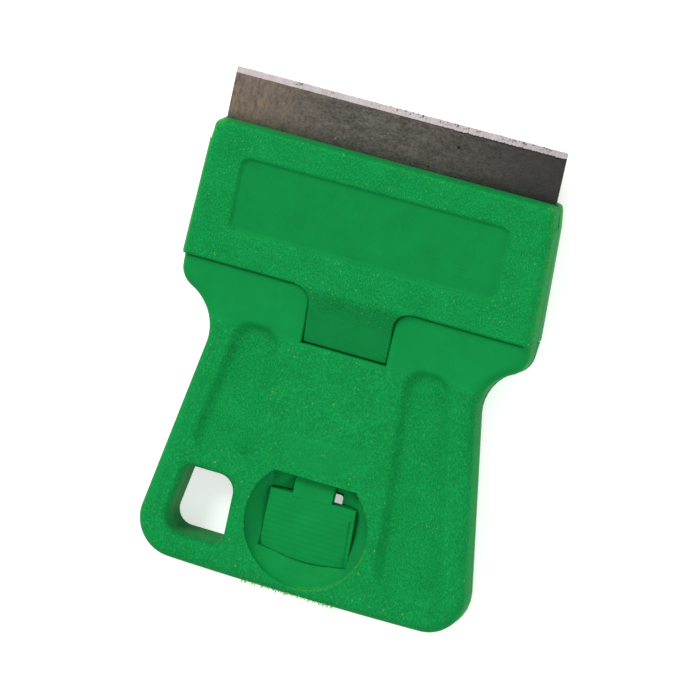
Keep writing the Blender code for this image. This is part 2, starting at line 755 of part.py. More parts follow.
def build_guard_back(plastic):
    """The tray that closes the head from behind, with its side walls."""
    side = head_right_side()
    radii = [GUARD_BACK_RADIUS] * len(side)
    plate = mirror_plate(side, radii, GUARD_FOOT_RADIUS)
    high = BLADE_HEIGHT - SEAM / 2
    bm = turn_over(plate_mesh(plate, 0, high), high)
    guard = new_object("guard_back_shell", finish_mesh("guard_back_shell", bm), plastic)
    inside = CAVITY_WIDTH / 2
    above = high + OVERRUN
    cut(
        guard,
        box(
            "tray_cavity",
            (-inside, BLADE_EXPOSURE + GUARD_LIP, GUARD_WALL),
            (inside, GUARD_FOOT + OVERRUN, above),
        ),
        blade_mouth("back_mouth", BLADE_HEIGHT - BLADE_SLOT, above),
    )
    return guard


# Blade carrier


def build_carrier(plastic):
    """A block that holds the blade by its spine, with a leg on each side that the handle holds."""
    pocket_front = SPINE_BACK - SPINE_DEPTH - BLADE_FIT
    pocket_back = SPINE_BACK + BLADE_FIT
    pocket_half = SPINE_THICKNESS / 2 + BLADE_FIT
    upper = [
        (CARRIER_FRONT, BLADE_HEIGHT + BLADE_SLOT),
        (pocket_front, BLADE_HEIGHT + BLADE_SLOT),
        (pocket_front, BLADE_HEIGHT + pocket_half),
        (pocket_back, BLADE_HEIGHT + pocket_half),
    ]
    lower = [(d, 2 * BLADE_HEIGHT - z) for d, z in reversed(upper)]
    profile = [(CARRIER_FRONT, CARRIER_TOP)] + upper + lower
    profile += [(CARRIER_FRONT, CARRIER_BOTTOM), (CARRIER_BACK, CARRIER_BOTTOM), (CARRIER_BACK, CARRIER_TOP)]
    half = CARRIER_WIDTH / 2
    carrier = cross_prism("blade_carrier", profile, -half, half, plastic)

    legs = pair(
        "leg",
        (LEG_INNER, CARRIER_BACK - CARRIER_BACK_WALL / 2, CARRIER_BOTTOM),
        (LEG_OUTER, LEG_END, LEG_TOP),
    )
    join(carrier, *legs)
    gap_side = TONGUE_WIDTH / 2 + TONGUE_FILLET + TONGUE_ROOT_SIDE + SLIDE_FIT
    gap_front = GUARD_FOOT - TONGUE_ROOT - GUARD_TRAVEL - SLIDE_FIT
    cut(
        carrier,
        box("tongue_way", (-gap_side, gap_front, SPINE_TOP), (gap_side, LEG_END, CARRIER_TOP + OVERRUN)),
        *posts("leg_hole", pin_places(), PIN_RADIUS + SEAT_FIT, CARRIER_BOTTOM - OVERRUN, LEG_TOP + OVERRUN),
    )
    return carrier


# Handle


def shoulder_rise(distance):
    """How far the front face rises above the handle's at this distance, levelling out downwards."""
    share = min(max((HANDLE_TOP + SLOPE_LENGTH - distance) / SLOPE_LENGTH, 0), 1)
    return SHOULDER_RISE * share * share


def groove(name, side, length, inner):
    """A cutter for one finger groove, with soft walls and its end this far from the middle."""
    share = length / GROOVE_LENGTH
    outer = GROOVE_TOP_OUTER + (GROOVE_END_OUTER - GROOVE_TOP_OUTER) * share
    corners = [
        (inner, at(GROOVE_TOP + length)),
        (outer, at(GROOVE_TOP + length)),
        (GROOVE_TOP_OUTER, at(GROOVE_TOP)),
        (GROOVE_TOP_INNER, at(GROOVE_TOP)),
    ]
    outline = round_corners(corners, [GROOVE_CORNER] * len(corners))
    rings = [[(side * x, y, HANDLE_THICKNESS + OVERRUN) for x, y in outline]]
    for step in range(FILLET_STEPS + 1):
        share = step / FILLET_STEPS
        height = HANDLE_THICKNESS - GROOVE_DEPTH * (1 - math.cos(math.pi * share)) / 2
        rings.append([(side * x, y, height) for x, y in grown(outline, -GROOVE_WALL_RUN * share)])
    return new_object(name, finish_mesh(name, stack_rings(rings)))


def dish(name):
    """A cutter for the thumb dish: half an ellipsoid, cut off straight at the window's top."""
    edge = at(WINDOW_TOP)
    rings = []
    for step in range(DISH_STEPS):
        angle = math.pi / 2 * (DISH_STEPS - step) / DISH_STEPS
        angle = min(angle, math.pi / 2 * (1 - 1 / DISH_SIDES))
        radius = DISH_RADIUS * math.cos(angle)
        height = HANDLE_THICKNESS - DISH_DEPTH * math.sin(angle)
        outline = circle((0, at(DISH_CENTRE)), radius, DISH_SIDES)
        rings.append([(x, min(y, edge), height) for x, y in outline])
    outline = circle((0, at(DISH_CENTRE)), DISH_RADIUS, DISH_SIDES)
    for height in (HANDLE_THICKNESS, HANDLE_THICKNESS + OVERRUN):
        rings.append([(x, min(y, edge), height) for x, y in outline])
    return new_object(name, finish_mesh(name, stack_rings(rings)))


def half_moon():
    """The raised half-moon above the window."""
    top = WINDOW_TOP - HALF_MOON_FROM_WINDOW
    half = HALF_MOON_WIDTH / 2
    steps = 2 * ARC_STEPS
    angles = [math.pi * (1 + i / steps) for i in range(steps + 1)]
    outline = [(half * math.cos(a), at(top) + HALF_MOON_LENGTH * math.sin(a)) for a in angles]
    low, high = HANDLE_THICKNESS - HALF_MOON_RISE, HANDLE_THICKNESS + HALF_MOON_RISE
    return prism("half_moon", outline, low, high)


def build_handle_front(plastic):
    """The handle's front shell: shoulders, notch for the tongue, grooves, window and dish."""
    sides = handle_side_points()
    notch = TONGUE_WIDTH / 2 + NOTCH_SIDE_GAP
    notch_end = TONGUE_END + NOTCH_END_GAP
    notch_points = arc((notch + NOTCH_CORNER, at(HANDLE_TOP + NOTCH_CORNER)), NOTCH_CORNER, 90, 180)
    notch_points.append((notch, at(notch_end)))
    radii = [HANDLE_EDGE_RADIUS] * (len(sides) - 1) + [HANDLE_TOP_EDGE_RADIUS]
    radii += [NOTCH_EDGE_RADIUS] * len(notch_points)
    plate = mirror_plate(sides + notch_points, radii, HANDLE_EDGE_RADIUS)
    low = HANDLE_SEAM_HEIGHT + SEAM / 2
    bm = plate_mesh(plate, low, HANDLE_THICKNESS, HANDLE_LEAN_SHARE)
    bend_plate(bm, low, HANDLE_THICKNESS, HANDLE_TOP, HANDLE_TOP + SLOPE_LENGTH, shoulder_rise)
    shell = new_object("handle_front_shell", finish_mesh("handle_front_shell", bm), plastic)

    below = low - OVERRUN
    corridor = CORRIDOR_WIDTH / 2
    corridor_end = HINGE + SADDLE_LENGTH / 2 + SEAT_FIT
    leg_way = pair(
        "leg_way",
        (LEG_INNER - SEAT_FIT, HANDLE_TOP - OVERRUN, below),
        (LEG_OUTER + SEAT_FIT, LEG_END + SEAT_FIT, LEG_TOP + SEAT_FIT),
    )
    lower_socket_top = HANDLE_BACK_WALL + LOWER_PIN_LENGTH + SEAT_FIT
    join(shell, half_moon())
    cut(
        shell,
        box("corridor", (-corridor, HANDLE_TOP - OVERRUN, below), (corridor, corridor_end, CORRIDOR_CEILING)),
        *leg_way,
        *posts("pin_socket", pin_places(), PIN_RADIUS + SEAT_FIT, below, PIN_TOP + SEAT_FIT),
        *posts("lower_socket", lower_pin_places(), LOWER_PIN_RADIUS + SEAT_FIT, below, lower_socket_top),
        *pockets("front_hollow", below, POCKET_CEILING),
        prism("window", window_outline(), below, HANDLE_THICKNESS + OVERRUN),
        dish("thumb_dish"),
        groove("groove_right", 1, GROOVE_LENGTH, GROOVE_END_INNER),
        groove("groove_left", -1, SHORT_GROOVE_LENGTH, SHORT_GROOVE_END_INNER),
        hang_hole("hang_hole_front"),
    )
    keeper_half = HINGE_PIN_RADIUS - PIN_FIT
    keepers = pair(
        "keeper",
        (RAIL_INNER + PIN_FIT, HINGE - keeper_half, HINGE_HEIGHT + HINGE_PIN_RADIUS + 2 * PIN_FIT),
        (RAIL_INNER + RAIL_WIDTH - PIN_FIT, HINGE + keeper_half, CORRIDOR_CEILING + HANDLE_FRONT_WALL / 2),
    )
    join(shell, *keepers)
    return shell


def build_handle_back(plastic):
    """The handle's back shell, with the carrier's pins, the tail's rails and the rocker's saddles."""
    sides = handle_side_points()
    radii = [HANDLE_BACK_RADIUS] * (len(sides) - 1) + [HANDLE_TOP_EDGE_RADIUS]
    plate = mirror_plate(sides, radii, HANDLE_BACK_RADIUS)
    high = HANDLE_SEAM_HEIGHT - SEAM / 2
    bm = turn_over(plate_mesh(plate, 0, high), high)
    shell = new_object("handle_back_shell", finish_mesh("handle_back_shell", bm), plastic)

    above = high + OVERRUN
    opening_start = WINDOW_TOP + BACK_OPENING_FROM_WINDOW
    opening_end = opening_start + BACK_OPENING_LENGTH
    opening_corners = rectangle(BACK_OPENING_WIDTH / 2, opening_start, opening_end)
    opening = round_corners(opening_corners, [BACK_OPENING_CORNER] * len(opening_corners))
    corridor = CORRIDOR_WIDTH / 2
    floor = HANDLE_BACK_WALL
    corridor_end = HINGE + SADDLE_LENGTH / 2 + SEAT_FIT
    leg_side = LEG_OUTER + SEAT_FIT
    cut(
        shell,
        box("leg_floor", (-leg_side, HANDLE_TOP - OVERRUN, floor), (leg_side, LEG_END + SEAT_FIT, above)),
        box("corridor_floor", (-corridor, LEG_END, floor), (corridor, corridor_end, above)),
        prism("window_floor", window_outline(), floor, above),
        *pockets("back_hollow", floor, above),
        prism("back_opening", opening, -OVERRUN, above),
        hang_hole("hang_hole_back"),
    )
    root = floor / 2
    rail_outer = RAIL_INNER + RAIL_WIDTH
    saddle_start, saddle_end = HINGE - SADDLE_LENGTH / 2, HINGE + SADDLE_LENGTH / 2
    saddle_top = HINGE_HEIGHT + SADDLE_RISE
    rails = pair("rail", (RAIL_INNER, HANDLE_TOP + RAIL_FROM_TOP, root), (rail_outer, HINGE, TAIL_TOP))
    saddles = pair(
        "saddle",
        (RAIL_INNER - STEP_INSET, saddle_start, root),
        (rail_outer + STEP_INSET, saddle_end, saddle_top),
    )
    join(
        shell,
        *posts("pin_seat", pin_places(), PIN_SEAT_RADIUS, root, CARRIER_BOTTOM - SEAT_FIT),
        *posts("pin", pin_places(), PIN_RADIUS, root, PIN_TOP),
        *posts("lower_pin", lower_pin_places(), LOWER_PIN_RADIUS, root, floor + LOWER_PIN_LENGTH),
        *rails,
        *saddles,
    )
    bearing = HINGE_PIN_RADIUS + PIN_FIT
    reach = rail_outer + OVERRUN
    cut(
        shell,
        cross_bar("bearing", (HINGE, HINGE_HEIGHT), bearing, -reach, reach),
        box(
            "bearing_mouth",
            (-reach, HINGE - bearing, HINGE_HEIGHT),
            (reach, HINGE + bearing, saddle_top + OVERRUN),
        ),
    )
    return shell


# Press tab


def build_press_tab(plastic):
    """The rocker: pressing its pad lifts the peg at its other end out of the tail's slot."""
    neck_low = PAD_HEIGHT - NECK_GAUGE
    half_neck = NECK_WIDTH / 2
    pad = mirrored(pad_right_half())
    bm = plate_mesh((pad, [PAD_EDGE_RADIUS] * len(pad)), PAD_HEIGHT - PAD_GAUGE, PAD_HEIGHT)
    for vert in bm.verts:
        vert.co.z -= PAD_FALL * (LENGTH / 2 - vert.co.y - PAD_TOP) / PAD_LENGTH
    tab = new_object("press_tab", finish_mesh("press_tab", bm), plastic)

    under_edge = CORRIDOR_CEILING - SLIDE_FIT
    neck_start = PAD_TOP + PAD_GAUGE
    neck = [
        (neck_start, neck_low),
        (neck_start, PAD_HEIGHT - PAD_EDGE_RADIUS),
        (PAD_TOP - PAD_GAUGE, PAD_HEIGHT),
        (WINDOW_TOP, under_edge),
        (HINGE, HINGE_HEIGHT + HINGE_BAR_RADIUS - CUT_TOLERANCE),
        (HINGE, HINGE_HEIGHT - HINGE_BAR_RADIUS / 2),
        (WINDOW_TOP, neck_low - HINGE_BAR_RADIUS / 2),
    ]
    peg_low = TAIL_TOP - PEG_ENGAGEMENT
    peg_high = ARM_BOTTOM + ARM_GAUGE / 2
    arm_top = ARM_BOTTOM + ARM_GAUGE
    arm = [(ARM_FRONT, ARM_BOTTOM), (HINGE, ARM_BOTTOM), (HINGE, arm_top), (ARM_FRONT, arm_top)]
    bar_half = HINGE_BAR_WIDTH / 2
    pin_half = bar_half + HINGE_PIN_LENGTH
    join(
        tab,
        cross_prism("neck", neck, -half_neck, half_neck),
        cross_bar("bar", (HINGE, HINGE_HEIGHT), HINGE_BAR_RADIUS, -bar_half, bar_half),
        cross_bar("stub_pins", (HINGE, HINGE_HEIGHT), HINGE_PIN_RADIUS, -pin_half, pin_half),
        cross_prism("arm", arm, -ARM_WIDTH / 2, ARM_WIDTH / 2),
        box("peg", (-PEG_WIDTH / 2, ARM_FRONT, peg_low), (PEG_WIDTH / 2, PEG_BACK, peg_high)),
    )
    put_origin(tab, (0, at(HINGE), HINGE_HEIGHT))
    return tab


def main():
    clear_scene()
    green = make_material("green_plastic", (0.0, 0.33, 0.06), 0.45)
    steel = make_material("blade_steel", (0.28, 0.26, 0.24), 0.35, 1.0)
    build_blade(steel)
    build_spine(steel)
    build_carrier(green)
    shells = [build_guard_front(green), build_guard_back(green)]
    hang_on(shells, "guard_slide", (0, at(GUARD_FOOT), BLADE_HEIGHT))
    build_handle_front(green)
    build_handle_back(green)
    build_press_tab(green)


main()
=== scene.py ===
"""Looks of a pocket blade scraper: grained green mouldings, a press tab and a ground steel blade.

The frame is in metres, with +X to the right, +Y towards the cutting edge and +Z out of the front
face. Places along the scraper are distances from the cutting edge, which at() turns into Y.
"""

import logging
import math
from collections.abc import Callable, Sequence
from dataclasses import dataclass, field
from enum import Enum

import bmesh
import bpy
import numpy as np
from mathutils import Matrix, Vector
from mathutils.geometry import delaunay_2d_cdt
from mathutils.kdtree import KDTree


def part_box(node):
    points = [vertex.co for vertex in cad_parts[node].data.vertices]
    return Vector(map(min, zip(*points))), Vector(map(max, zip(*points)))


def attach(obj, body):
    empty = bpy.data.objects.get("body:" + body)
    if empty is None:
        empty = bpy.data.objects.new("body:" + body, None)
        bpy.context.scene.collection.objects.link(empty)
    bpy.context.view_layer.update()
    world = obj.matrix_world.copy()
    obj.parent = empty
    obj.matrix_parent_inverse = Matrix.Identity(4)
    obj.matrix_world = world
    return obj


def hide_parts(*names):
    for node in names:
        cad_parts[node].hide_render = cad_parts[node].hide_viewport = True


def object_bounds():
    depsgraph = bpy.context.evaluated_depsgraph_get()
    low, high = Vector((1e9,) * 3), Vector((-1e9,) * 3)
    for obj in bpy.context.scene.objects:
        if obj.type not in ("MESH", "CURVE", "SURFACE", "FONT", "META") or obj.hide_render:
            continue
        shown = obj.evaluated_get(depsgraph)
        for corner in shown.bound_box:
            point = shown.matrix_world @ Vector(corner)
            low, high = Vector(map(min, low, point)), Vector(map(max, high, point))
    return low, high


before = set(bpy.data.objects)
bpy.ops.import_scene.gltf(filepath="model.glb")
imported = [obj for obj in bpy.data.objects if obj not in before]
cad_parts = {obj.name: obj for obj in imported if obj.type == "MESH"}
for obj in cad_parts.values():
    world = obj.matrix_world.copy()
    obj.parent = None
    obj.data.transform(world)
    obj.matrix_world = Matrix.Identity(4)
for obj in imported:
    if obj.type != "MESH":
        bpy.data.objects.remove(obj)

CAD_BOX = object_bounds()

MM = 0.001
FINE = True
SMOOTH_ANGLE = math.radians(35)
OVERRUN = 2.0 * MM
CUTTING_EDGE = CAD_BOX[1].y
RIM_SPACING = 1.0 * MM
EPSILON = 1e-6

log = logging.getLogger("scraper")

Point = tuple[float, float]
Surface = Callable[[np.ndarray], np.ndarray]


def at(distance: float) -> float:
    """The Y of a place this far from the cutting edge."""
    return CUTTING_EDGE - distance


def from_edge(points: np.ndarray) -> np.ndarray:
    """How far each point lies from the cutting edge."""
    return CUTTING_EDGE - points[:, 1]


# Outlines


def arc(centre: Point, radius: float, start: float, end: float, step: float = 6.0) -> list[Point]:
    """Points along an arc, with both ends.

    Args:
        centre: Centre of the arc.
        radius: Radius of the arc.
        start: First angle, in degrees.
        end: Last angle, in degrees.
        step: Largest angle between two points, in degrees.

    Returns:
        The points from the first angle to the last.
    """
    count = max(2, math.ceil(abs(end - start) / step))
    angles = [math.radians(start + (end - start) * i / count) for i in range(count + 1)]
    return [(centre[0] + radius * math.cos(a), centre[1] + radius * math.sin(a)) for a in angles]


def round_corners(corners: Sequence[Point], radii: Sequence[float]) -> list[Point]:
    """The outline with each corner replaced by an arc.

    Args:
        corners: Corners of the outline, anticlockwise.
        radii: Radius of each corner.

    Returns:
        The rounded outline.
    """
    outline: list[Point] = []
    for i, radius in enumerate(radii):
        here = Vector(corners[i])
        back = (Vector(corners[i - 1]) - here).normalized()
        ahead = (Vector(corners[(i + 1) % len(corners)]) - here).normalized()
        half = back.angle(ahead) / 2
        reach = radius / math.tan(half)
        centre = here + (back + ahead).normalized() * radius / math.sin(half)
        first = here + back * reach - centre
        last = here + ahead * reach - centre
        start = math.degrees(math.atan2(first.y, first.x))
        sweep = math.degrees(math.atan2(first.x * last.y - first.y * last.x, first.dot(last)))
        outline += arc(centre, radius, start, start + sweep)
    return outline


def mirrored(points: Sequence[Point]) -> list[Point]:
    """The points on the other side of the middle, in the order that keeps an outline anticlockwise."""
    return [(-x, y) for x, y in reversed(points)]


def resample(points: Sequence[Point], spacing: float) -> np.ndarray:
    """The run of points with its long stretches divided evenly.

    Args:
        points: Points of an open run.
        spacing: Largest distance between two points.

    Returns:
        An array of points, which holds every given one.
    """
    dense = [points[0]]
    for start, end in zip(points, points[1:]):
        count = max(1, math.ceil(math.dist(start, end) / spacing))
        dense += [
            (start[0] + (end[0] - start[0]) * i / count, start[1] + (end[1] - start[1]) * i / count)
            for i in range(1, count + 1)
        ]
    return np.array(dense)


def distances(points: np.ndarray, path: np.ndarray) -> np.ndarray:
    """The distance of each point from an open run of straight segments."""
    nearest = np.full(len(points), np.inf)
    starts, runs = path[:-1], path[1:] - path[:-1]
    lengths = np.maximum((runs**2).sum(1), np.finfo(float).tiny)
    for start, run, length in zip(starts, runs, lengths):
        along = np.clip(((points - start) @ run) / length, 0, 1)
        gap = points - start - along[:, None] * run
        nearest = np.minimum(nearest, (gap**2).sum(1))
    return np.sqrt(nearest)


def inside(points: np.ndarray, loop: np.ndarray) -> np.ndarray:
    """Whether each point lies within a closed loop."""
    within = np.zeros(len(points), bool)
    for (x0, y0), (x1, y1) in zip(loop, np.roll(loop, -1, axis=0)):
        spans = (y0 > points[:, 1]) != (y1 > points[:, 1])
        rise = y1 - y0 if y1 != y0 else 1.0
        crossing = (x1 - x0) * (points[:, 1] - y0) / rise + x0
        within ^= spans & (points[:, 0] < crossing)
    return within


def depth_inside(points: np.ndarray, loop: Sequence[Point]) -> np.ndarray:
    """How far each point lies inside a closed loop, negative outside it."""
    closed = np.array([*loop, loop[0]])
    sign = np.where(inside(points, closed[:-1]), 1.0, -1.0)
    return sign * distances(points, closed)


def offset(path: np.ndarray, distance: float | np.ndarray) -> np.ndarray:
    """The open run moved to its left, which is inwards on an anticlockwise outline."""
    runs = np.diff(path, axis=0)
    runs /= np.linalg.norm(runs, axis=1)[:, None]
    normals = np.stack([-runs[:, 1], runs[:, 0]], axis=1)
    joined = np.vstack([normals[:1], normals[:-1] + normals[1:], normals[-1:]])
    joined /= np.linalg.norm(joined, axis=1)[:, None]
    return path + joined * np.reshape(distance, (-1, 1))


def wall_lines(
    rim: Sequence[Point], wall: float, shares: Sequence[float], spacing: float
) -> list[np.ndarray]:
    """Closed runs of points along a wall that starts at a rim.

    Args:
        rim: The rim's outline, anticlockwise.
        wall: Width of the wall, which lies inside the rim.
        shares: Where the runs lie, as shares of that width.
        spacing: Largest distance between two points.

    Returns:
        A run for each share.
    """
    closed = np.array([*rim, rim[0]])
    return [resample(offset(closed, wall * share).tolist(), spacing) for share in shares]


def soft_step(share: np.ndarray) -> np.ndarray:
    """A share from 0 to 1 with a level start and a level end."""
    share = np.clip(share, 0, 1)
    return share * share * (3 - 2 * share)


# Meshes


def new_object(name: str, mesh: bpy.types.Mesh) -> bpy.types.Object:
    """A new object in the scene, at the origin."""
    obj = bpy.data.objects.new(name, mesh)
    bpy.context.scene.collection.objects.link(obj)
    return obj


def smooth(mesh: bpy.types.Mesh) -> bpy.types.Mesh:
    """The mesh shaded smooth, with its corners kept sharp."""
    mesh.shade_smooth()
    mesh.set_sharp_from_angle(angle=SMOOTH_ANGLE)
    return mesh


def stack(name: str, rings: Sequence[Sequence[Sequence[float]]]) -> bpy.types.Object:
    """A closed solid through rings of as many points each, with flat ends."""
    bm = bmesh.new()
    loops = [[bm.verts.new(point) for point in ring] for ring in rings]
    count = len(loops[0])
    for lower, upper in zip(loops, loops[1:]):
        for i in range(count):
            bm.faces.new((lower[i], lower[(i + 1) % count], upper[(i + 1) % count], upper[i]))
    bm.faces.new(list(reversed(loops[0])))
    bm.faces.new(loops[-1])
    bmesh.ops.recalc_face_normals(bm, faces=bm.faces)
    mesh = bpy.data.meshes.new(name)
    bm.to_mesh(mesh)
    bm.free()
    return new_object(name, smooth(mesh))


def prism(name: str, outline: Sequence[Point], low: float, high: float) -> bpy.types.Object:
    """A solid of one outline between two heights."""
    return stack(name, [[(x, y, z) for x, y in outline] for z in (low, high)])


def cross_prism(name: str, profile: Sequence[Point], half_width: float) -> bpy.types.Object:
    """A solid across the scraper, from a profile in distances from the edge and heights."""
    return stack(name, [[(x, at(d), z) for d, z in profile] for x in (-half_width, half_width)])


def block(name: str, low: Sequence[float], high: Sequence[float]) -> bpy.types.Object:
    """A box between two corners, each an X, a distance from the cutting edge and a height."""
    outline = [(low[0], at(high[1])), (high[0], at(high[1])), (high[0], at(low[1])), (low[0], at(low[1]))]
    return prism(name, outline, low[2], high[2])


def blocks(name: str, low: Sequence[float], high: Sequence[float]) -> list[bpy.types.Object]:
    """The same box on the right and on the left, from the right one's corners."""
    left = block(f"{name}_left", (-high[0], *low[1:]), (-low[0], *high[1:]))
    return [block(f"{name}_right", low, high), left]


class Operation(Enum):
    """How one solid changes another."""

    CUT = "DIFFERENCE"
    JOIN = "UNION"


def bake(obj: bpy.types.Object) -> None:
    """Replaces the object's mesh by what its modifiers make of it, and removes them."""
    evaluated = obj.evaluated_get(bpy.context.evaluated_depsgraph_get())
    made = bpy.data.meshes.new_from_object(evaluated)
    old = obj.data
    obj.modifiers.clear()
    obj.data = made
    made.name = obj.name
    bpy.data.meshes.remove(old)


def combine(obj: bpy.types.Object, tools: Sequence[bpy.types.Object], operation: Operation) -> None:
    """Cuts the tools out of the solid, or joins them to it, and deletes them."""
    for tool in tools:
        modifier = obj.modifiers.new(tool.name, "BOOLEAN")
        modifier.operation = operation.value
        modifier.object = tool
        modifier.solver = "EXACT"
    bake(obj)
    for tool in tools:
        mesh = tool.data
        bpy.data.objects.remove(tool)
        bpy.data.meshes.remove(mesh)


@dataclass(frozen=True)
class Side:
    """A run of an outline and the radius of the rounded edge along it."""

    points: list[Point]
    radius: float


def mirror_sides(right: Sequence[Side]) -> list[Side]:
    """The sides of a whole outline from those of its right half, which starts and ends in the middle."""
    return [*right, *(Side(mirrored(side.points), side.radius) for side in reversed(right))]


class Mark(Enum):
    """What is painted on a moulding's points, for its finish to read."""

    GRAIN = "grain"
    # Cutter swirls, whose paint also darkens the colour as painted shade.
    SWIRL_AND_SHADE = "swirl"
    # Painted highlights along edges that catch the light.
    EDGE = "edge"


@dataclass
class Relief:
    """A moulded plate: a finely meshed face with rounded edges, side walls and an underside.

    Attributes:
        sides: The runs of its outline, anticlockwise.
        face: Height of its face, before its edges are rounded.
        base: Height of its underside.
        holes: Its openings, anticlockwise, each with one edge radius.
        lines: Runs of points that the face's mesh follows.
        lean_share: How far a wall leans inwards, as a share of its edge radius.
        spacing: Distance between the mesh's points.
        edge_steps: Rows of points along a rounded edge.
        ring_share: How much of its reach a row keeps from every other edge.
        grid_share: How much of the spacing the grid keeps from the other points.
        paints: What is painted on its points.
    """

    sides: list[Side]
    face: Surface
    base: Surface
    holes: list[Side] = field(default_factory=list)
    lines: list[np.ndarray] = field(default_factory=list)
    lean_share: float = 0.0
    spacing: float = 0.25 * MM if FINE else 0.5 * MM
    edge_steps: int = 8
    ring_share: float = 0.98
    grid_share: float = 0.6
    paints: dict[Mark, Surface] = field(default_factory=dict)

    def foot(self) -> tuple[np.ndarray, np.ndarray]:
        """The outline's closed loop of points, and how far each leans inwards at the top."""
        runs = [resample(side.points, self.spacing) for side in self.sides]
        loop = np.vstack([run[:-1] for run in runs])
        leans = np.concatenate(
            [np.full(len(run) - 1, side.radius) for run, side in zip(runs, self.sides)]
        )
        return loop, (leans + np.roll(leans, 1)) / 2 * self.lean_share

    def top_runs(self) -> list[np.ndarray]:
        """The runs of the outline at the top of its leaning walls."""
        loop, leans = self.foot()
        closed = np.vstack([loop[-1:], loop, loop[:1]])
        moved = offset(closed, np.concatenate([leans[-1:], leans, leans[:1]]))[1:-1]
        moved = np.vstack([moved, moved[:1]])
        runs, start = [], 0
        for side in self.sides:
            count = len(resample(side.points, self.spacing)) - 1
            runs.append(moved[start : start + count + 1])
            start += count
        return runs

    def hole_runs(self) -> list[np.ndarray]:
        """The closed run of each hole, clockwise, so that its left is material."""
        return [resample([*hole.points, hole.points[0]], self.spacing)[::-1] for hole in self.holes]

    def edges(self) -> list[tuple[np.ndarray, float]]:
        """Every run that bounds the face, with the radius of its edge."""
        outer = [(run, side.radius) for run, side in zip(self.top_runs(), self.sides)]
        return outer + [(run, hole.radius) for run, hole in zip(self.hole_runs(), self.holes)]

    def drop(self, points: np.ndarray, edges: Sequence[tuple[np.ndarray, float]]) -> np.ndarray:
        """How far the rounded edges lower the face at each point."""
        lowest = np.zeros(len(points))
        for run, radius in edges:
            near = np.clip(radius - distances(points, run), 0, radius)
            lowest = np.maximum(lowest, radius - np.sqrt(np.maximum(radius**2 - near**2, 0)))
        return lowest

    def face_points(
        self, outline: np.ndarray, holes: list[np.ndarray], edges: Sequence[tuple[np.ndarray, float]]
    ) -> np.ndarray:
        """The free points of the face: along its rounded edges, along its lines, and a grid."""
        close = []
        everything = [run for run, _ in edges]
        for run, radius in edges:
            for step in range(1, self.edge_steps + 1):
                reach = radius * (1 - math.cos(math.pi / 2 * step / self.edge_steps))
                ring = offset(run, reach)
                gaps = np.min([distances(ring, other) for other in everything], axis=0)
                close.append(ring[gaps > reach * self.ring_share])
        close += self.lines
        near = np.vstack(close)
        low, high = outline.min(0), outline.max(0)
        rows = np.arange(low[1], high[1], self.spacing * math.sqrt(3) / 2)
        columns = np.arange(low[0], high[0], self.spacing)
        shift = self.spacing / 2
        grid = np.vstack(
            [
                np.stack([columns + shift * (i % 2), np.full_like(columns, y)], 1)
                for i, y in enumerate(rows)
            ]
        )
        ends = np.vstack([near, *everything])
        tree = KDTree(len(ends))
        for i, (x, y) in enumerate(ends):
            tree.insert((x, y, 0), i)
        tree.balance()
        clear = self.grid_share * self.spacing
        apart = [tree.find((x, y, 0))[2] > clear for x, y in grid]
        points = np.vstack([near, grid[np.array(apart)]])
        kept = inside(points, outline)
        for hole in holes:
            kept &= ~inside(points, hole)
        return points[kept]

    def triangles(
        self, loops: list[np.ndarray], free: np.ndarray
    ) -> tuple[np.ndarray, np.ndarray]:
        """Triangles between the loops.

        Args:
            loops: The outline, and then the holes.
            free: Points inside, which may be none.

        Returns:
            The points, the loops' own first, and the triangles, anticlockwise from above.
        """
        points = np.vstack([*loops, free])
        edges, start = [], 0
        for loop in loops:
            count = len(loop)
            edges += [(start + i, start + (i + 1) % count) for i in range(count)]
            start += count
        scaled = [Vector(p) for p in (points / MM).tolist()]
        made, _, faces, origins, _, _ = delaunay_2d_cdt(scaled, edges, [], 0, EPSILON, True)
        index = [origin[0] if origin else len(points) + i for i, origin in enumerate(origins)]
        if max(index) >= len(points):
            raise ValueError("an outline crosses itself")
        corners = np.array([[index[v] for v in face] for face in faces])
        middles = points[corners].mean(1)
        kept = inside(middles, loops[0])
        for hole in loops[1:]:
            kept &= ~inside(middles, hole)
        corners = corners[kept]
        a, b, c = (points[corners[:, i]] for i in range(3))
        area = (b[:, 0] - a[:, 0]) * (c[:, 1] - a[:, 1]) - (b[:, 1] - a[:, 1]) * (c[:, 0] - a[:, 0])
        turned = np.where((area < 0)[:, None], corners[:, ::-1], corners)
        return points, turned[np.abs(area) > 0]

    def build(self, name: str) -> bpy.types.Object:
        """The plate as a closed solid, with its paints as attributes."""
        outer, _ = self.foot()
        holes = self.hole_runs()
        hole_loops = [run[:-1] for run in holes]
        top = np.vstack([run[:-1] for run in self.top_runs()])
        edges = self.edges()
        free = self.face_points(top, hole_loops, edges)
        points, faces = self.triangles([top, *hole_loops], free)
        heights = self.face(points) - self.drop(points, edges)
        under, under_faces = self.triangles([outer, *hole_loops], np.empty((0, 2)))
        count = len(points)
        verts = np.vstack(
            [np.column_stack([points, heights]), np.column_stack([under, self.base(under)])]
        )
        walls, start = [], 0
        for loop in [top, *hole_loops]:
            size = len(loop)
            for i in range(size):
                j = (i + 1) % size
                walls.append((count + start + i, count + start + j, start + j, start + i))
            start += size
        every = faces.tolist() + (under_faces[:, ::-1] + count).tolist() + walls
        mesh = bpy.data.meshes.new(name)
        mesh.from_pydata(verts.tolist(), [], every)
        mesh.validate()
        for mark, paint in self.paints.items():
            values = np.concatenate([paint(points), np.zeros(len(under))])
            attribute = mesh.attributes.new(mark.value, "FLOAT", "POINT")
            attribute.data.foreach_set("value", values.astype(np.float32))
        return new_object(name, mesh)


# Node graphs


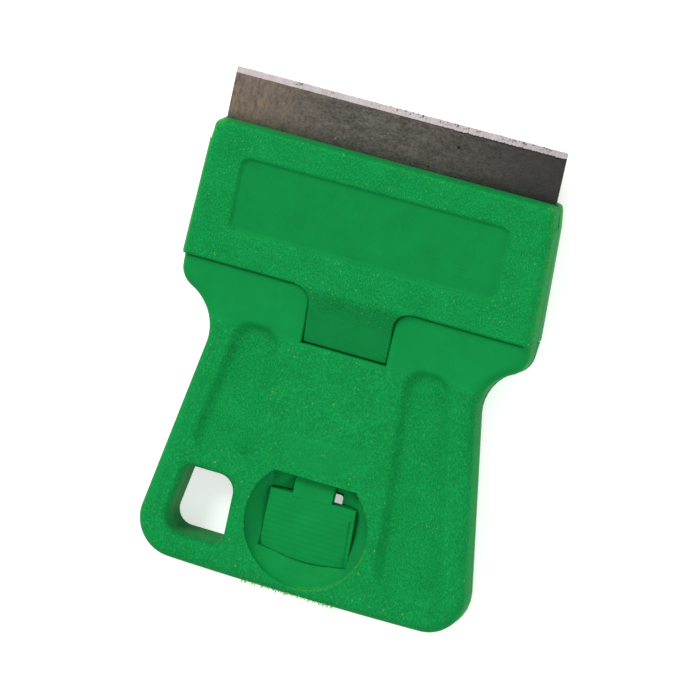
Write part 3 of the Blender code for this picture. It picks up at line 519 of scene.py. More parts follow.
class Signal:
    """A socket of a node graph that adds Math nodes when it is used in an expression."""

    def __init__(self, graph: "Graph", socket: bpy.types.NodeSocket) -> None:
        """Wraps a socket of the graph."""
        self.graph = graph
        self.socket = socket

    def maths(self, operation: str, *values: "Signal | float") -> "Signal":
        """The result of a Math node on these values."""
        inputs = dict(enumerate(values))
        return self.graph.node(self.graph.maths, {"operation": operation}, inputs).out(0)

    def __add__(self, other: "Signal | float") -> "Signal":
        """This plus the other."""
        return self.maths("ADD", self, other)

    def __sub__(self, other: "Signal | float") -> "Signal":
        """This minus the other."""
        return self.maths("SUBTRACT", self, other)

    def __rsub__(self, other: float) -> "Signal":
        """The other minus this."""
        return self.maths("SUBTRACT", other, self)

    def __mul__(self, other: "Signal | float") -> "Signal":
        """This times the other."""
        return self.maths("MULTIPLY", self, other)

    def __truediv__(self, other: "Signal | float") -> "Signal":
        """This divided by the other."""
        return self.maths("DIVIDE", self, other)

    def __pow__(self, other: float) -> "Signal":
        """This to a power."""
        return self.maths("POWER", self, other)

    __radd__ = __add__
    __rmul__ = __mul__

    def top(self, other: "Signal | float") -> "Signal":
        """The larger of the two."""
        return self.maths("MAXIMUM", self, other)

    def sine(self) -> "Signal":
        """The sine of this."""
        return self.maths("SINE", self)

    def ramp(self, low: float, high: float) -> "Signal":
        """A soft step from 0 at one value to 1 at another, which may be the lower one."""
        flip = low > high
        settings = {"interpolation_type": "SMOOTHSTEP", "clamp": True}
        values = {"Value": self, "From Min": min(low, high), "From Max": max(low, high)}
        step = self.graph.node("ShaderNodeMapRange", settings, values).out(0)
        return 1 - step if flip else step


class Node:
    """A node of a graph whose outputs are read as signals."""

    def __init__(self, graph: "Graph", node: bpy.types.Node) -> None:
        """Wraps a node of the graph."""
        self.graph = graph
        self.node = node

    def out(self, name: str | int) -> Signal:
        """One output, by its name or number."""
        return Signal(self.graph, self.node.outputs[name])


class Graph:
    """A node tree, to which nodes are added with their settings and inputs."""

    maths = "ShaderNodeMath"

    def __init__(self, tree: bpy.types.NodeTree) -> None:
        """Starts the tree afresh."""
        self.tree = tree
        tree.nodes.clear()

    def node(
        self, kind: str, settings: dict[str, object] | None = None, inputs: dict | None = None
    ) -> Node:
        """Adds a node.

        Args:
            kind: The node's type.
            settings: Its properties, set first. "stops" gives a ramp's (position, colour) pairs.
            inputs: Values or signals, by the socket's name or number.

        Returns:
            The new node.
        """
        node = self.tree.nodes.new(kind)
        for name, value in (settings or {}).items():
            if name == "stops":
                self.set_stops(node.color_ramp, value)
            else:
                setattr(node, name, value)
        for name, value in (inputs or {}).items():
            if isinstance(value, Signal):
                self.tree.links.new(value.socket, node.inputs[name])
            else:
                node.inputs[name].default_value = value
        return Node(self, node)

    @staticmethod
    def set_stops(ramp: bpy.types.ColorRamp, stops: Sequence[tuple[float, Sequence[float]]]) -> None:
        """Gives a ramp its (position, colour) stops."""
        while len(ramp.elements) < len(stops):
            ramp.elements.new(1.0)
        for element, (position, colour) in zip(ramp.elements, stops):
            element.position = position
            element.color = (*colour, 1.0)


class ShaderGraph(Graph):
    """A material's node tree, with the patterns that the finishes use."""

    def place(self, scale: Sequence[float] = (1, 1, 1), turn: float = 0.0) -> Signal:
        """The place on the piece in metres, stretched by scale and turned about Z, in degrees."""
        spot = self.node("ShaderNodeTexCoord").out("Object")
        values = {"Vector": spot, "Scale": scale, "Rotation": (0, 0, math.radians(turn))}
        return self.node("ShaderNodeMapping", {}, values).out(0)

    def axes(self) -> Node:
        """The place on the piece split into X, Y and Z."""
        spot = self.node("ShaderNodeTexCoord").out("Object")
        return self.node("ShaderNodeSeparateXYZ", {}, {"Vector": spot})

    def noise(
        self, cell: float, detail: float = 2.0, roughness: float = 0.5, vector: Signal | None = None
    ) -> Signal:
        """Soft noise from 0 to 1, whose blotches are about one cell across."""
        values = {"Vector": vector or self.place(), "Scale": 1 / cell, "Detail": detail}
        values["Roughness"] = roughness
        return self.node("ShaderNodeTexNoise", {}, values).out(0)

    def cells(self, cell: float, feature: str = "F1", vector: Signal | None = None) -> Node:
        """A cell pattern, whose cells are about this large."""
        values = {"Vector": vector or self.place(), "Scale": 1 / cell}
        return self.node("ShaderNodeTexVoronoi", {"feature": feature}, values)

    def specks(self, cell: float, share: float, size: float) -> Signal:
        """Round specks, in this share of the cells and of this size in cells."""
        pattern = self.cells(cell)
        lot = self.node("ShaderNodeSeparateColor", {}, {"Color": pattern.out("Color")}).out(0)
        return lot.ramp(share, share * 0.9) * pattern.out("Distance").ramp(size, size / 2)

    def painted(self, mark: Mark) -> Signal:
        """What is painted on the piece under this mark."""
        return self.node("ShaderNodeAttribute", {"attribute_name": mark.value}).out("Fac")

    def mix(self, share: Signal | float, first: object, second: object) -> Signal:
        """A colour between two colours."""
        settings = {"data_type": "RGBA", "clamp_factor": True}
        colours = [c if isinstance(c, Signal) else (*c, 1.0) for c in (first, second)]
        inputs = {0: share, 6: colours[0], 7: colours[1]}
        return self.node("ShaderNodeMix", settings, inputs).out(2)

    def bump(self, height: Signal, depth: float, under: Signal | None = None) -> Signal:
        """The normal of a surface raised by height, which is worth depth where it is 1."""
        values: dict[str, object] = {"Height": height, "Distance": depth, "Strength": 1.0}
        if under is not None:
            values["Normal"] = under
        return self.node("ShaderNodeBump", {}, values).out(0)

    def surface(self, inputs: dict) -> Node:
        """The shader with these inputs, joined to the material's output."""
        shader = self.node("ShaderNodeBsdfPrincipled", {}, inputs)
        self.node("ShaderNodeOutputMaterial", {}, {"Surface": shader.out(0)})
        return shader


class GeometryGraph(Graph):
    """A geometry tree with named inputs, which is run once on a piece and turned into its mesh."""

    sockets = {float: "NodeSocketFloat", int: "NodeSocketInt", bpy.types.Material: "NodeSocketMaterial"}

    def __init__(self, name: str, values: dict[str, object]) -> None:
        """Starts a tree with these named inputs.

        Args:
            name: The tree's name.
            values: The value that each named input gets on the piece.
        """
        super().__init__(bpy.data.node_groups.new(name, "GeometryNodeTree"))
        self.values = values
        face = self.tree.interface
        face.new_socket("Geometry", in_out="INPUT", socket_type="NodeSocketGeometry")
        self.identifiers = {
            name: face.new_socket(name, in_out="INPUT", socket_type=self.sockets[type(value)]).identifier
            for name, value in values.items()
        }
        face.new_socket("Geometry", in_out="OUTPUT", socket_type="NodeSocketGeometry")
        self.given = self.node("NodeGroupInput")

    def value(self, name: str) -> Signal:
        """One of the named inputs."""
        return self.given.out(name)

    def vector(self, x: Signal | float = 0.0, y: Signal | float = 0.0, z: Signal | float = 0.0) -> Signal:
        """A vector from its three parts."""
        return self.node("ShaderNodeCombineXYZ", {}, {"X": x, "Y": y, "Z": z}).out(0)

    def chance(self, kind: str, low: object, high: object, lot: int) -> Signal:
        """A random value for each point, from the tree's seed and this lot."""
        numbers = {"FLOAT": (2, 3), "FLOAT_VECTOR": (0, 1)}[kind]
        seed = self.value("Seed") + float(lot)
        inputs = {numbers[0]: low, numbers[1]: high, "Seed": seed}
        node = self.node("FunctionNodeRandomValue", {"data_type": kind}, inputs)
        return node.out({"FLOAT": 1, "FLOAT_VECTOR": 0}[kind])

    def finish(self, shape: Signal, material: Signal) -> None:
        """Ends the tree with real geometry in this material."""
        real = self.node("GeometryNodeRealizeInstances", {}, {"Geometry": shape}).out(0)
        dressed = self.node("GeometryNodeSetMaterial", {}, {"Geometry": real, "Material": material})
        self.node("NodeGroupOutput", {}, {"Geometry": dressed.out(0)})

    def run(self, obj: bpy.types.Object) -> None:
        """Runs the tree on a piece and keeps what it makes as the piece's mesh."""
        modifier = obj.modifiers.new(self.tree.name, "NODES")
        modifier.node_group = self.tree
        for name, identifier in self.identifiers.items():
            modifier[identifier] = self.values[name]
        bake(obj)


def new_material(name: str) -> tuple[bpy.types.Material, ShaderGraph]:
    """A new material and its empty node graph."""
    material = bpy.data.materials.new(name)
    material.use_nodes = True
    return material, ShaderGraph(material.node_tree)


# Finishes

Colour = tuple[float, float, float]


@dataclass(frozen=True)
class MouldedPlastic:
    """Green plastic from a steel mould: spark grain, satin fields and swirls left by the cutter.

    A cell is the size of a pattern's grains or dots, a patch that of its blotches, a depth what its
    bump is worth, and a weight how much it changes the shade. The rim, line and glint colours are
    painted highlights along lit edges and on the grain, and the swirl paint also darkens the colour
    as painted shade.
    """

    colour: Colour = (0.006, 0.262, 0.057)
    raised: Colour = (0.0075, 0.325, 0.071)
    pit: Colour = (0.0055, 0.18, 0.042)
    # Painted highlight colours: a tint along lit rims, a brighter line at their very edge, and glints on
    # the grain.
    rim: Colour = (0.06, 0.4, 0.05)
    line: Colour = (0.16, 0.52, 0.06)
    glint_colour: Colour = (0.22, 0.5, 0.08)
    sheen_tint: Colour = (0.45, 1.0, 0.3)
    specular: float = 0.02
    roughness: float = 0.42
    grain_cell: float = 0.17 * MM
    grain_depth: float = 0.11 * MM
    satin_cell: float = 0.12 * MM
    satin_depth: float = 0.006 * MM
    sink_cell: float = 6.0 * MM
    sink_depth: float = 0.06 * MM
    swirl_pitch: float = 0.5 * MM
    swirl_depth: float = 0.02 * MM
    swirl_bend: float = 9.0 * MM
    swirl_patch: float = 2.2 * MM
    glint_cell: float = 0.42 * MM
    glint_patch: float = 5.0 * MM
    lone_glint_cell: float = 1.2 * MM
    rim_dot_cell: float = 0.16 * MM
    rim_patch: float = 0.7 * MM
    shade_level: float = 0.72
    shade_patch: float = 3.0 * MM
    patch_weight: float = 0.8
    grain_weight: float = 1.1
    shade_fleck: float = 0.3 * MM
    fleck_weight: float = 0.35
    # How much the swirl paint darkens the colour, as painted shade.
    painted_shade_weight: float = 0.45
    # Where the edge paint turns into the painted highlight line, and how strong that line is.
    line_span: tuple[float, float] = (0.86, 0.94)
    highlight_line_share: float = 0.55

    def grain(self, graph: ShaderGraph) -> Signal:
        """The spark grain: soft ridges that lean one way, broken by finer ones."""
        lie = graph.place((1.0, 0.55, 1.0), 35.0)
        coarse = graph.noise(self.grain_cell, 3.0, 0.55, lie)
        fine = graph.cells(self.grain_cell * 0.8, "SMOOTH_F1").out("Distance")
        return coarse.ramp(0.3, 0.72) * 0.7 + fine * 0.45

    def swirl(self, graph: ShaderGraph) -> Signal:
        """Fine arcs left in the mould by a turning cutter."""
        bend = graph.noise(self.swirl_bend, 1.0) * self.swirl_bend
        axes = graph.axes()
        lines = (axes.out("X") * 0.8 + axes.out("Y") + bend) / self.swirl_pitch
        broken = graph.noise(self.swirl_patch, 2.0).ramp(0.45, 0.65)
        return (lines * (2 * math.pi)).sine() * broken

    def glints(self, graph: ShaderGraph, grained: Signal, edge: Signal) -> Signal:
        """Where the grain catches the light: clusters of specks, and a dotted band along the rims."""
        clusters = graph.noise(self.glint_patch, 2.0, 0.6).ramp(0.42, 0.6)
        small = graph.specks(self.glint_cell, 0.3, 0.24) * clusters
        lone = graph.specks(self.lone_glint_cell, 0.2, 0.12)
        dotted = graph.noise(self.rim_dot_cell, 2.0, 0.6).ramp(0.5, 0.62) * edge.ramp(0.1, 0.8)
        return (small * 0.5 + lone * 0.55) * (grained * 0.85 + 0.05) + dotted * 0.5

    def material(self, name: str) -> bpy.types.Material:
        """The finish as a material."""
        material, graph = new_material(name)
        grain = self.grain(graph)
        grained = graph.painted(Mark.GRAIN)
        edge = graph.painted(Mark.EDGE)
        # The swirl paint marks the cutter's arcs and also darkens the colour as painted shade.
        swirled_and_shaded = graph.painted(Mark.SWIRL_AND_SHADE)
        swirl = self.swirl(graph) * swirled_and_shaded
        patches = graph.noise(self.shade_patch, 3.0, 0.6)
        fleck = graph.noise(self.shade_fleck, 2.0, 0.6) - 0.5
        shade = (patches - 0.5) * self.patch_weight + (grain - 0.6) * grained * self.grain_weight
        shade = shade + fleck * self.fleck_weight + self.shade_level - swirled_and_shaded * self.painted_shade_weight
        body = graph.mix(shade, self.pit, graph.mix(grained, self.colour, self.raised))
        # Painted highlights: a mottled tint along the lit rims, a brighter line at their very edge, and
        # glints on the grain.
        tint = graph.noise(self.rim_patch, 3.0, 0.6) * 0.5 + 0.15
        rim_highlighted = graph.mix(edge ** 2.0 * tint, body, self.rim)
        line_highlighted = graph.mix(edge.ramp(*self.line_span) * self.highlight_line_share, rim_highlighted, self.line)
        colour = graph.mix(self.glints(graph, grained, edge), line_highlighted, self.glint_colour)
        sink = graph.bump(graph.noise(self.sink_cell, 1.0), self.sink_depth)
        satin = graph.bump(graph.noise(self.satin_cell, 2.0), self.satin_depth, sink)
        swirled = graph.bump(swirl, self.swirl_depth, satin)
        normal = graph.bump(grain * grained, self.grain_depth, swirled)
        roughness = self.roughness + grained * 0.08 + (patches - 0.5) * 0.1
        graph.surface(
            {
                "Base Color": colour,
                "Roughness": roughness,
                "Specular IOR Level": self.specular,
                "Specular Tint": (*self.sheen_tint, 1.0),
                "Normal": normal,
            }
        )
        return material


@dataclass(frozen=True)
class BladeSteel:
    """Cold-rolled carbon steel, browned at one end and dark at the other, with a bright ground edge.

    A cell or a patch is the size of a pattern's blotches. A span is the stretch along X over which
    something grows, and a fade gives the distances from its edge between which it grows.
    """

    dark: Colour = (0.055, 0.05, 0.043)
    light: Colour = (0.16, 0.147, 0.127)
    brown: Colour = (0.215, 0.165, 0.13)
    rust: Colour = (0.3, 0.15, 0.05)
    shadow: Colour = (0.036, 0.036, 0.033)
    spot: Colour = (0.012, 0.011, 0.009)
    fleck: Colour = (0.42, 0.38, 0.33)
    ground: Colour = (0.53, 0.465, 0.465)
    ground_dark: Colour = (0.42, 0.37, 0.385)
    ground_blue: Colour = (0.45, 0.455, 0.6)
    cut_face: Colour = (0.012, 0.012, 0.012)
    grind_depth: float = 0.7 * MM
    half_width: float = 19.5 * MM
    brown_span: tuple[float, float] = (-5.0 * MM, -18.5 * MM)
    shadow_span: tuple[float, float] = (-4.0 * MM, 21.0 * MM)
    darker_span: tuple[float, float] = (4.0 * MM, 21.0 * MM)
    nick_span: tuple[float, float] = (-14.5 * MM, -12.0 * MM)
    nick_fade: tuple[float, float] = (0.6 * MM, 0.16 * MM)
    line_span: tuple[float, float] = (-2.0 * MM, 10.0 * MM)
    line_width: float = 0.24 * MM
    ragged_span: tuple[float, float] = (0.0, 8.0 * MM)
    ragged: tuple[float, float] = (0.35 * MM, 0.1 * MM)
    grind_fade: tuple[float, float] = (0.02 * MM, -0.03 * MM)
    side_fade: tuple[float, float] = (0.03 * MM, 0.01 * MM)
    blotch_cell: float = 1.6 * MM
    grit_cell: float = 0.2 * MM
    rolling_cell: float = 0.5 * MM
    streak_cell: float = 0.6 * MM
    rust_patch: float = 0.9 * MM
    pit_cells: tuple[float, float] = (1.1 * MM, 2.4 * MM)
    fleck_cell: float = 1.7 * MM
    band_cell: float = 1.3 * MM
    grinding_cell: float = 0.22 * MM
    chip_cell: float = 0.27 * MM
    chip_patch: float = 2.2 * MM
    scratch_cell: float = 0.05 * MM
    relief_cell: float = 0.2 * MM
    relief_depth: float = 0.008 * MM

    def rolled(self, graph: ShaderGraph, axes: Node) -> Signal:
        """The colour of the rolled face: mottles, brown patina, a darker end, pits and bright flecks."""
        blotches = graph.noise(self.blotch_cell, 5.0, 0.7)
        grit = graph.noise(self.grit_cell, 3.0, 0.75, graph.place((0.7, 1.0, 1.0), -15.0))
        across = graph.noise(self.rolling_cell, 3.0, 0.65, graph.place((0.25, 1.0, 1.0), 14.0))
        tone = (blotches - 0.5) * 1.1 + (grit - 0.5) * 2.4 + (across - 0.5) * 1.2 + 0.47
        face = graph.mix(tone, self.dark, self.light)
        patina = axes.out("X").ramp(*self.brown_span)
        streaks = graph.noise(self.streak_cell, 4.0, 0.75, graph.place((1.6, 0.6, 1.0), -10.0))
        browned = graph.mix(patina * ((streaks - 0.5) * 4.0 + 0.62), face, self.brown)
        rust = graph.noise(self.rust_patch, 4.0, 0.7).ramp(0.57, 0.66)
        rusted = graph.mix(patina ** 3.0 * rust * 0.6, browned, self.rust)
        deep = axes.out("X").ramp(*self.shadow_span)
        shaded = graph.mix(deep * 0.85, rusted, self.shadow)
        small, large = self.pit_cells
        pits = graph.specks(small, 0.14, 0.14).top(graph.specks(large, 0.12, 0.1))
        pitted = graph.mix(pits * 0.85, shaded, self.spot)
        return graph.mix(graph.specks(self.fleck_cell, 0.1, 0.1) * 0.8, pitted, self.fleck)

    def ground_face(self, graph: ShaderGraph, axes: Node, marks: Signal) -> Signal:
        """The colour of the ground edge: faint bands across it, and dark nicks by the cutting edge."""
        bands = graph.noise(self.band_cell, 3.0, 0.6, graph.place((1.0, 0.15, 0.15)))
        # The ground edge grows darker towards the right.
        end = axes.out("X").ramp(*self.darker_span) * 0.45
        tone = (marks - 0.5) * (end * 6.0 + 2.2) + (bands - 0.5) * 1.8 + 0.66 - end
        bright = graph.mix(tone, self.ground_dark, self.ground)
        bright = graph.mix(bands.ramp(0.55, 0.72) * 0.4, bright, self.ground_blue)
        patches = graph.noise(self.chip_patch, 2.0, 0.6).ramp(0.44, 0.54)
        chips = graph.specks(self.chip_cell, 0.75, 0.52) * patches
        first, last = self.nick_fade
        near = axes.out("Y").ramp(at(first), at(last)) * axes.out("X").ramp(*self.nick_span)
        return graph.mix(chips * near * 0.9, bright, self.spot)

    def material(self, name: str) -> bpy.types.Material:
        """The finish as a material."""
        material, graph = new_material(name)
        axes = graph.axes()
        rolled = self.rolled(graph, axes)
        marks = graph.noise(self.grinding_cell, 3.0, 0.7, graph.place((1.0, 0.05, 0.05)))
        bright = self.ground_face(graph, axes, marks)
        worn, even = self.ragged
        ragged = (marks - 0.5) * (axes.out("X").ramp(*self.ragged_span) * worn + even)
        start, end = (at(self.grind_depth + fade) for fade in self.grind_fade)
        edge = (axes.out("Y") + ragged).ramp(start, end)
        start, end = at(self.grind_depth + self.line_width), at(self.grind_depth)
        line = (axes.out("Y") + ragged * 2.0).ramp(start, end)
        shadowed = graph.mix(line * axes.out("X").ramp(*self.line_span) * 0.85, rolled, self.spot)
        faced = graph.mix(edge, shadowed, bright)
        start, end = (self.half_width - fade for fade in self.side_fade)
        side = axes.out("X").ramp(start, end)
        colour = graph.mix(side, faced, self.cut_face)
        scratches = graph.noise(self.scratch_cell, 2.0, 0.6, graph.place((0.08, 1.0, 1.0), 8.0))
        normal = graph.bump(graph.noise(self.relief_cell, 3.0, 0.6), self.relief_depth)
        roughness = 0.42 + (scratches - 0.5) * 0.25 - edge * 0.05
        graph.surface(
            {"Base Color": colour, "Metallic": 1 - side * 0.8, "Roughness": roughness, "Normal": normal}
        )
        return material


@dataclass(frozen=True)
class StripSteel:
    """Plain rolled strip, as the blade's folded spine is made of."""

    colour: Colour = (0.42, 0.41, 0.39)
    dull: Colour = (0.25, 0.24, 0.225)
    rolling_cell: float = 0.12 * MM
    rolling_depth: float = 0.006 * MM
    stain_cell: float = 2.0 * MM

    def material(self, name: str) -> bpy.types.Material:
        """The finish as a material."""
        material, graph = new_material(name)
        lie = graph.place((0.06, 1.0, 1.0))
        rolling = graph.noise(self.rolling_cell, 3.0, 0.6, lie)
        stains = graph.noise(self.stain_cell, 3.0, 0.6)
        colour = graph.mix(rolling * 0.5 + stains * 0.6, self.dull, self.colour)
        graph.surface(
            {
                "Base Color": colour,
                "Metallic": 1.0,
                "Roughness": 0.32 + stains * 0.2,
                "Normal": graph.bump(rolling, self.rolling_depth),
            }
        )
        return material


def dress(obj: bpy.types.Object, material: bpy.types.Material) -> None:
    """Gives the object this material alone."""
    obj.data.materials.clear()
    obj.data.materials.append(material)


# Mouldings


@dataclass
class Guard:
    """The T-shaped head that slides over the blade, with its tongue, step and slotted tail."""

    top: float = 5.9 * MM
    foot: float = 21.72 * MM
    bend: float = 8.6 * MM
    top_half: float = 20.08 * MM
    bend_half: float = 20.37 * MM
    foot_half: float = 20.85 * MM
    corner: float = 0.8 * MM
    nub: float = 0.12 * MM
    thickness: float = 6.3 * MM
    seam: float = 3.2 * MM
    side_radius: float = 1.3 * MM
    top_radius: float = 0.4 * MM
    foot_radius: float = 0.4 * MM
    tongue_half: float = 5.03 * MM
    tongue_end: float = 28.2 * MM
    tongue_fillet: float = 2.0 * MM
    tongue_radius: float = 0.2 * MM
    tongue_fall: float = 1.45 * MM
    panel_half: float = 16.1 * MM
    panel_top: float = 9.05 * MM
    panel_end: float = 17.95 * MM
    panel_corner: float = 1.3 * MM
    panel_depth: float = 0.38 * MM
    panel_wall: float = 0.6 * MM
    cavity_half: float = 19.7 * MM
    cavity_top: float = 5.15 * MM
    lip: float = 1.2 * MM
    mouth_top: float = 3.465 * MM
    root: float = 20.6 * MM
    root_side: float = 7.2 * MM
    underside: float = 3.995 * MM
    step_front: float = 27.3 * MM
    step_back: float = 28.0 * MM
    tail_half: float = 4.7 * MM
    tail_low: float = 1.3 * MM
    tail_high: float = 2.1 * MM
    tail_end: float = 44.4 * MM
    slot_half: float = 1.7 * MM
    slot_front: float = 34.6 * MM
    slot_back: float = 43.2 * MM
    mouth_lap: float = 0.3 * MM
    step_lap: float = 0.1 * MM
    wall_spacing: float = 0.2 * MM
    grain_fade: float = 4.0 * MM
    swirl_lead: float = 0.5 * MM
    swirl_fade: float = 1.5 * MM
    # Share of the swirl paint on the panel's floor, which also darkens it as painted shade.
    panel_swirl_and_shade: float = 0.6
    # Reach of the painted highlight along the sides, and its strength on the left and on the right.
    rim_reach: float = 0.8 * MM
    rim_highlights: tuple[float, float] = (0.95, 0.4)

    def sides(self) -> list[Side]:
        """The outline of the head and the tongue."""
        half = self.tongue_half
        fillet_centre = (half + self.tongue_fillet, at(self.foot + self.tongue_fillet))
        fillet = arc(fillet_centre, self.tongue_fillet, 180, 90)
        corner_centre = (self.top_half - self.corner, at(self.top + self.corner))
        corner = arc(corner_centre, self.corner, 0, 90)
        right = [
            Side([(0.0, at(self.tongue_end)), (half, at(self.tongue_end))], self.tongue_radius),
            Side([(half, at(self.tongue_end)), *fillet], self.tongue_radius),
            Side([fillet[-1], (self.foot_half, at(self.foot))], self.foot_radius),
            Side([(self.foot_half, at(self.foot)), *self.nub_points(), *corner], self.side_radius),
            Side([corner[-1], (0.0, at(self.top))], self.top_radius),
        ]
        return mirror_sides(right)

    def nub_points(self) -> list[Point]:
        """The small step in the head's side where it bends, from the foot's side upwards."""
        x, run = self.bend_half, self.nub
        return [
            (x, at(self.bend)),
            (x + run * 0.7, at(self.bend - run)),
            (x + run * 0.5, at(self.bend - 2 * run)),
            (x - run, at(self.bend - 3 * run)),
        ]

    def panel(self) -> list[Point]:
        """The outline of the sunken panel, where its wall starts."""
        half, top, end = self.panel_half, at(self.panel_top), at(self.panel_end)
        corners = [(-half, end), (half, end), (half, top), (-half, top)]
        return round_corners(corners, [self.panel_corner] * len(corners))

    def face(self, points: np.ndarray) -> np.ndarray:
        """The height of the front face, before its edges are rounded."""
        fall = np.clip((from_edge(points) - self.foot) / (self.tongue_end - self.foot), 0, 1)
        sunk = soft_step(depth_inside(points, self.panel()) / self.panel_wall)
        return self.thickness - self.tongue_fall * fall - self.panel_depth * sunk

    def grain(self, points: np.ndarray) -> np.ndarray:
        """Grain on the head's face, thinning out down the tongue, and none in the panel."""
        fading = 1 - soft_step((from_edge(points) - self.foot) / self.grain_fade)
        return fading * (1 - soft_step(depth_inside(points, self.panel()) / self.panel_wall))

    def swirl(self, points: np.ndarray) -> np.ndarray:
        """Cutter marks on the panel's floor and fainter ones down the tongue, with painted shade on both.
        """
        tongue = soft_step((from_edge(points) - self.foot + self.swirl_lead) / self.swirl_fade)
        floor = soft_step(depth_inside(points, self.panel()) / self.panel_wall)
        return np.maximum(tongue, self.panel_swirl_and_shade * floor)

    def rim_paint(self, points: np.ndarray, rim: Sequence[np.ndarray]) -> np.ndarray:
        """Where the head's sides catch the light: a line on the left, and a soft tint on the right.

        Args:
            points: The places to paint.
            rim: Runs of points along the sides.

        Returns:
            The paint at each place, from 0 to 1.
        """
        left, right = self.rim_highlights
        return edge_paint(points, rim, self.rim_reach) * np.where(points[:, 0] < 0, left, right)

    def build(self) -> bpy.types.Object:
        """The front shell of the head, with its hollows and its tail."""
        wall_shares = (0, 0.2, 0.4, 0.6, 0.8, 1)
        sides = self.sides()
        rim = [resample(side.points, RIM_SPACING) for side in sides if side.radius == self.side_radius]
        relief = Relief(
            sides=sides,
            face=self.face,
            base=lambda points: np.full(len(points), self.seam),
            lines=wall_lines(self.panel(), self.panel_wall, wall_shares, self.wall_spacing),
            # The swirl paint also darkens as painted shade, and the edge paint is a painted highlight.
            paints={
                Mark.GRAIN: self.grain,
                Mark.SWIRL_AND_SHADE: self.swirl,
                Mark.EDGE: lambda points: self.rim_paint(points, rim),
            },
        )
        obj = relief.build("guard_front")
        below = self.seam - OVERRUN
        inside_half = self.cavity_half
        cuts = [
            block(
                "cavity",
                (-inside_half, self.top + self.lip, below),
                (inside_half, self.root, self.cavity_top),
            ),
            *blocks(
                "foot_opening",
                (self.root_side, self.root - OVERRUN, below),
                (inside_half, self.foot + OVERRUN, self.cavity_top),
            ),
            block(
                "tongue_hollow",
                (-inside_half, self.root - OVERRUN, below),
                (inside_half, self.step_front - self.step_lap, self.underside),
            ),
            block(
                "mouth",
                (-inside_half, self.top - OVERRUN, below),
                (inside_half, self.top + self.lip + self.mouth_lap, self.mouth_top),
            ),
        ]
        combine(obj, cuts, Operation.CUT)
        tail = [
            (self.step_front, self.tail_low),
            (self.tail_end, self.tail_low),
            (self.tail_end, self.tail_high),
            (self.step_back, self.tail_high),
            (self.step_back, self.underside),
            (self.step_front, self.underside),
        ]
        combine(obj, [cross_prism("tail", tail, self.tail_half)], Operation.JOIN)
        slot = block(
            "slot",
            (-self.slot_half, self.slot_front, self.tail_low - OVERRUN),
            (self.slot_half, self.slot_back, self.tail_high + OVERRUN / 2),
        )
        combine(obj, [slot], Operation.CUT)
        smooth(obj.data)
        return obj

    def dress(self, obj: bpy.types.Object, plastic: bpy.types.Material) -> None:
        """Finishes the head's front shell."""
        dress(obj, plastic)
        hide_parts("guard_front_shell")
        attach(obj, "guard")


def edge_paint(points: np.ndarray, runs: Sequence[np.ndarray], reach: float) -> np.ndarray:
    """How near each point lies to these runs: 1 on them, and 0 from this reach on."""
    gaps = np.min([distances(points, run) for run in runs], axis=0)
    return 1 - soft_step(gaps / reach)


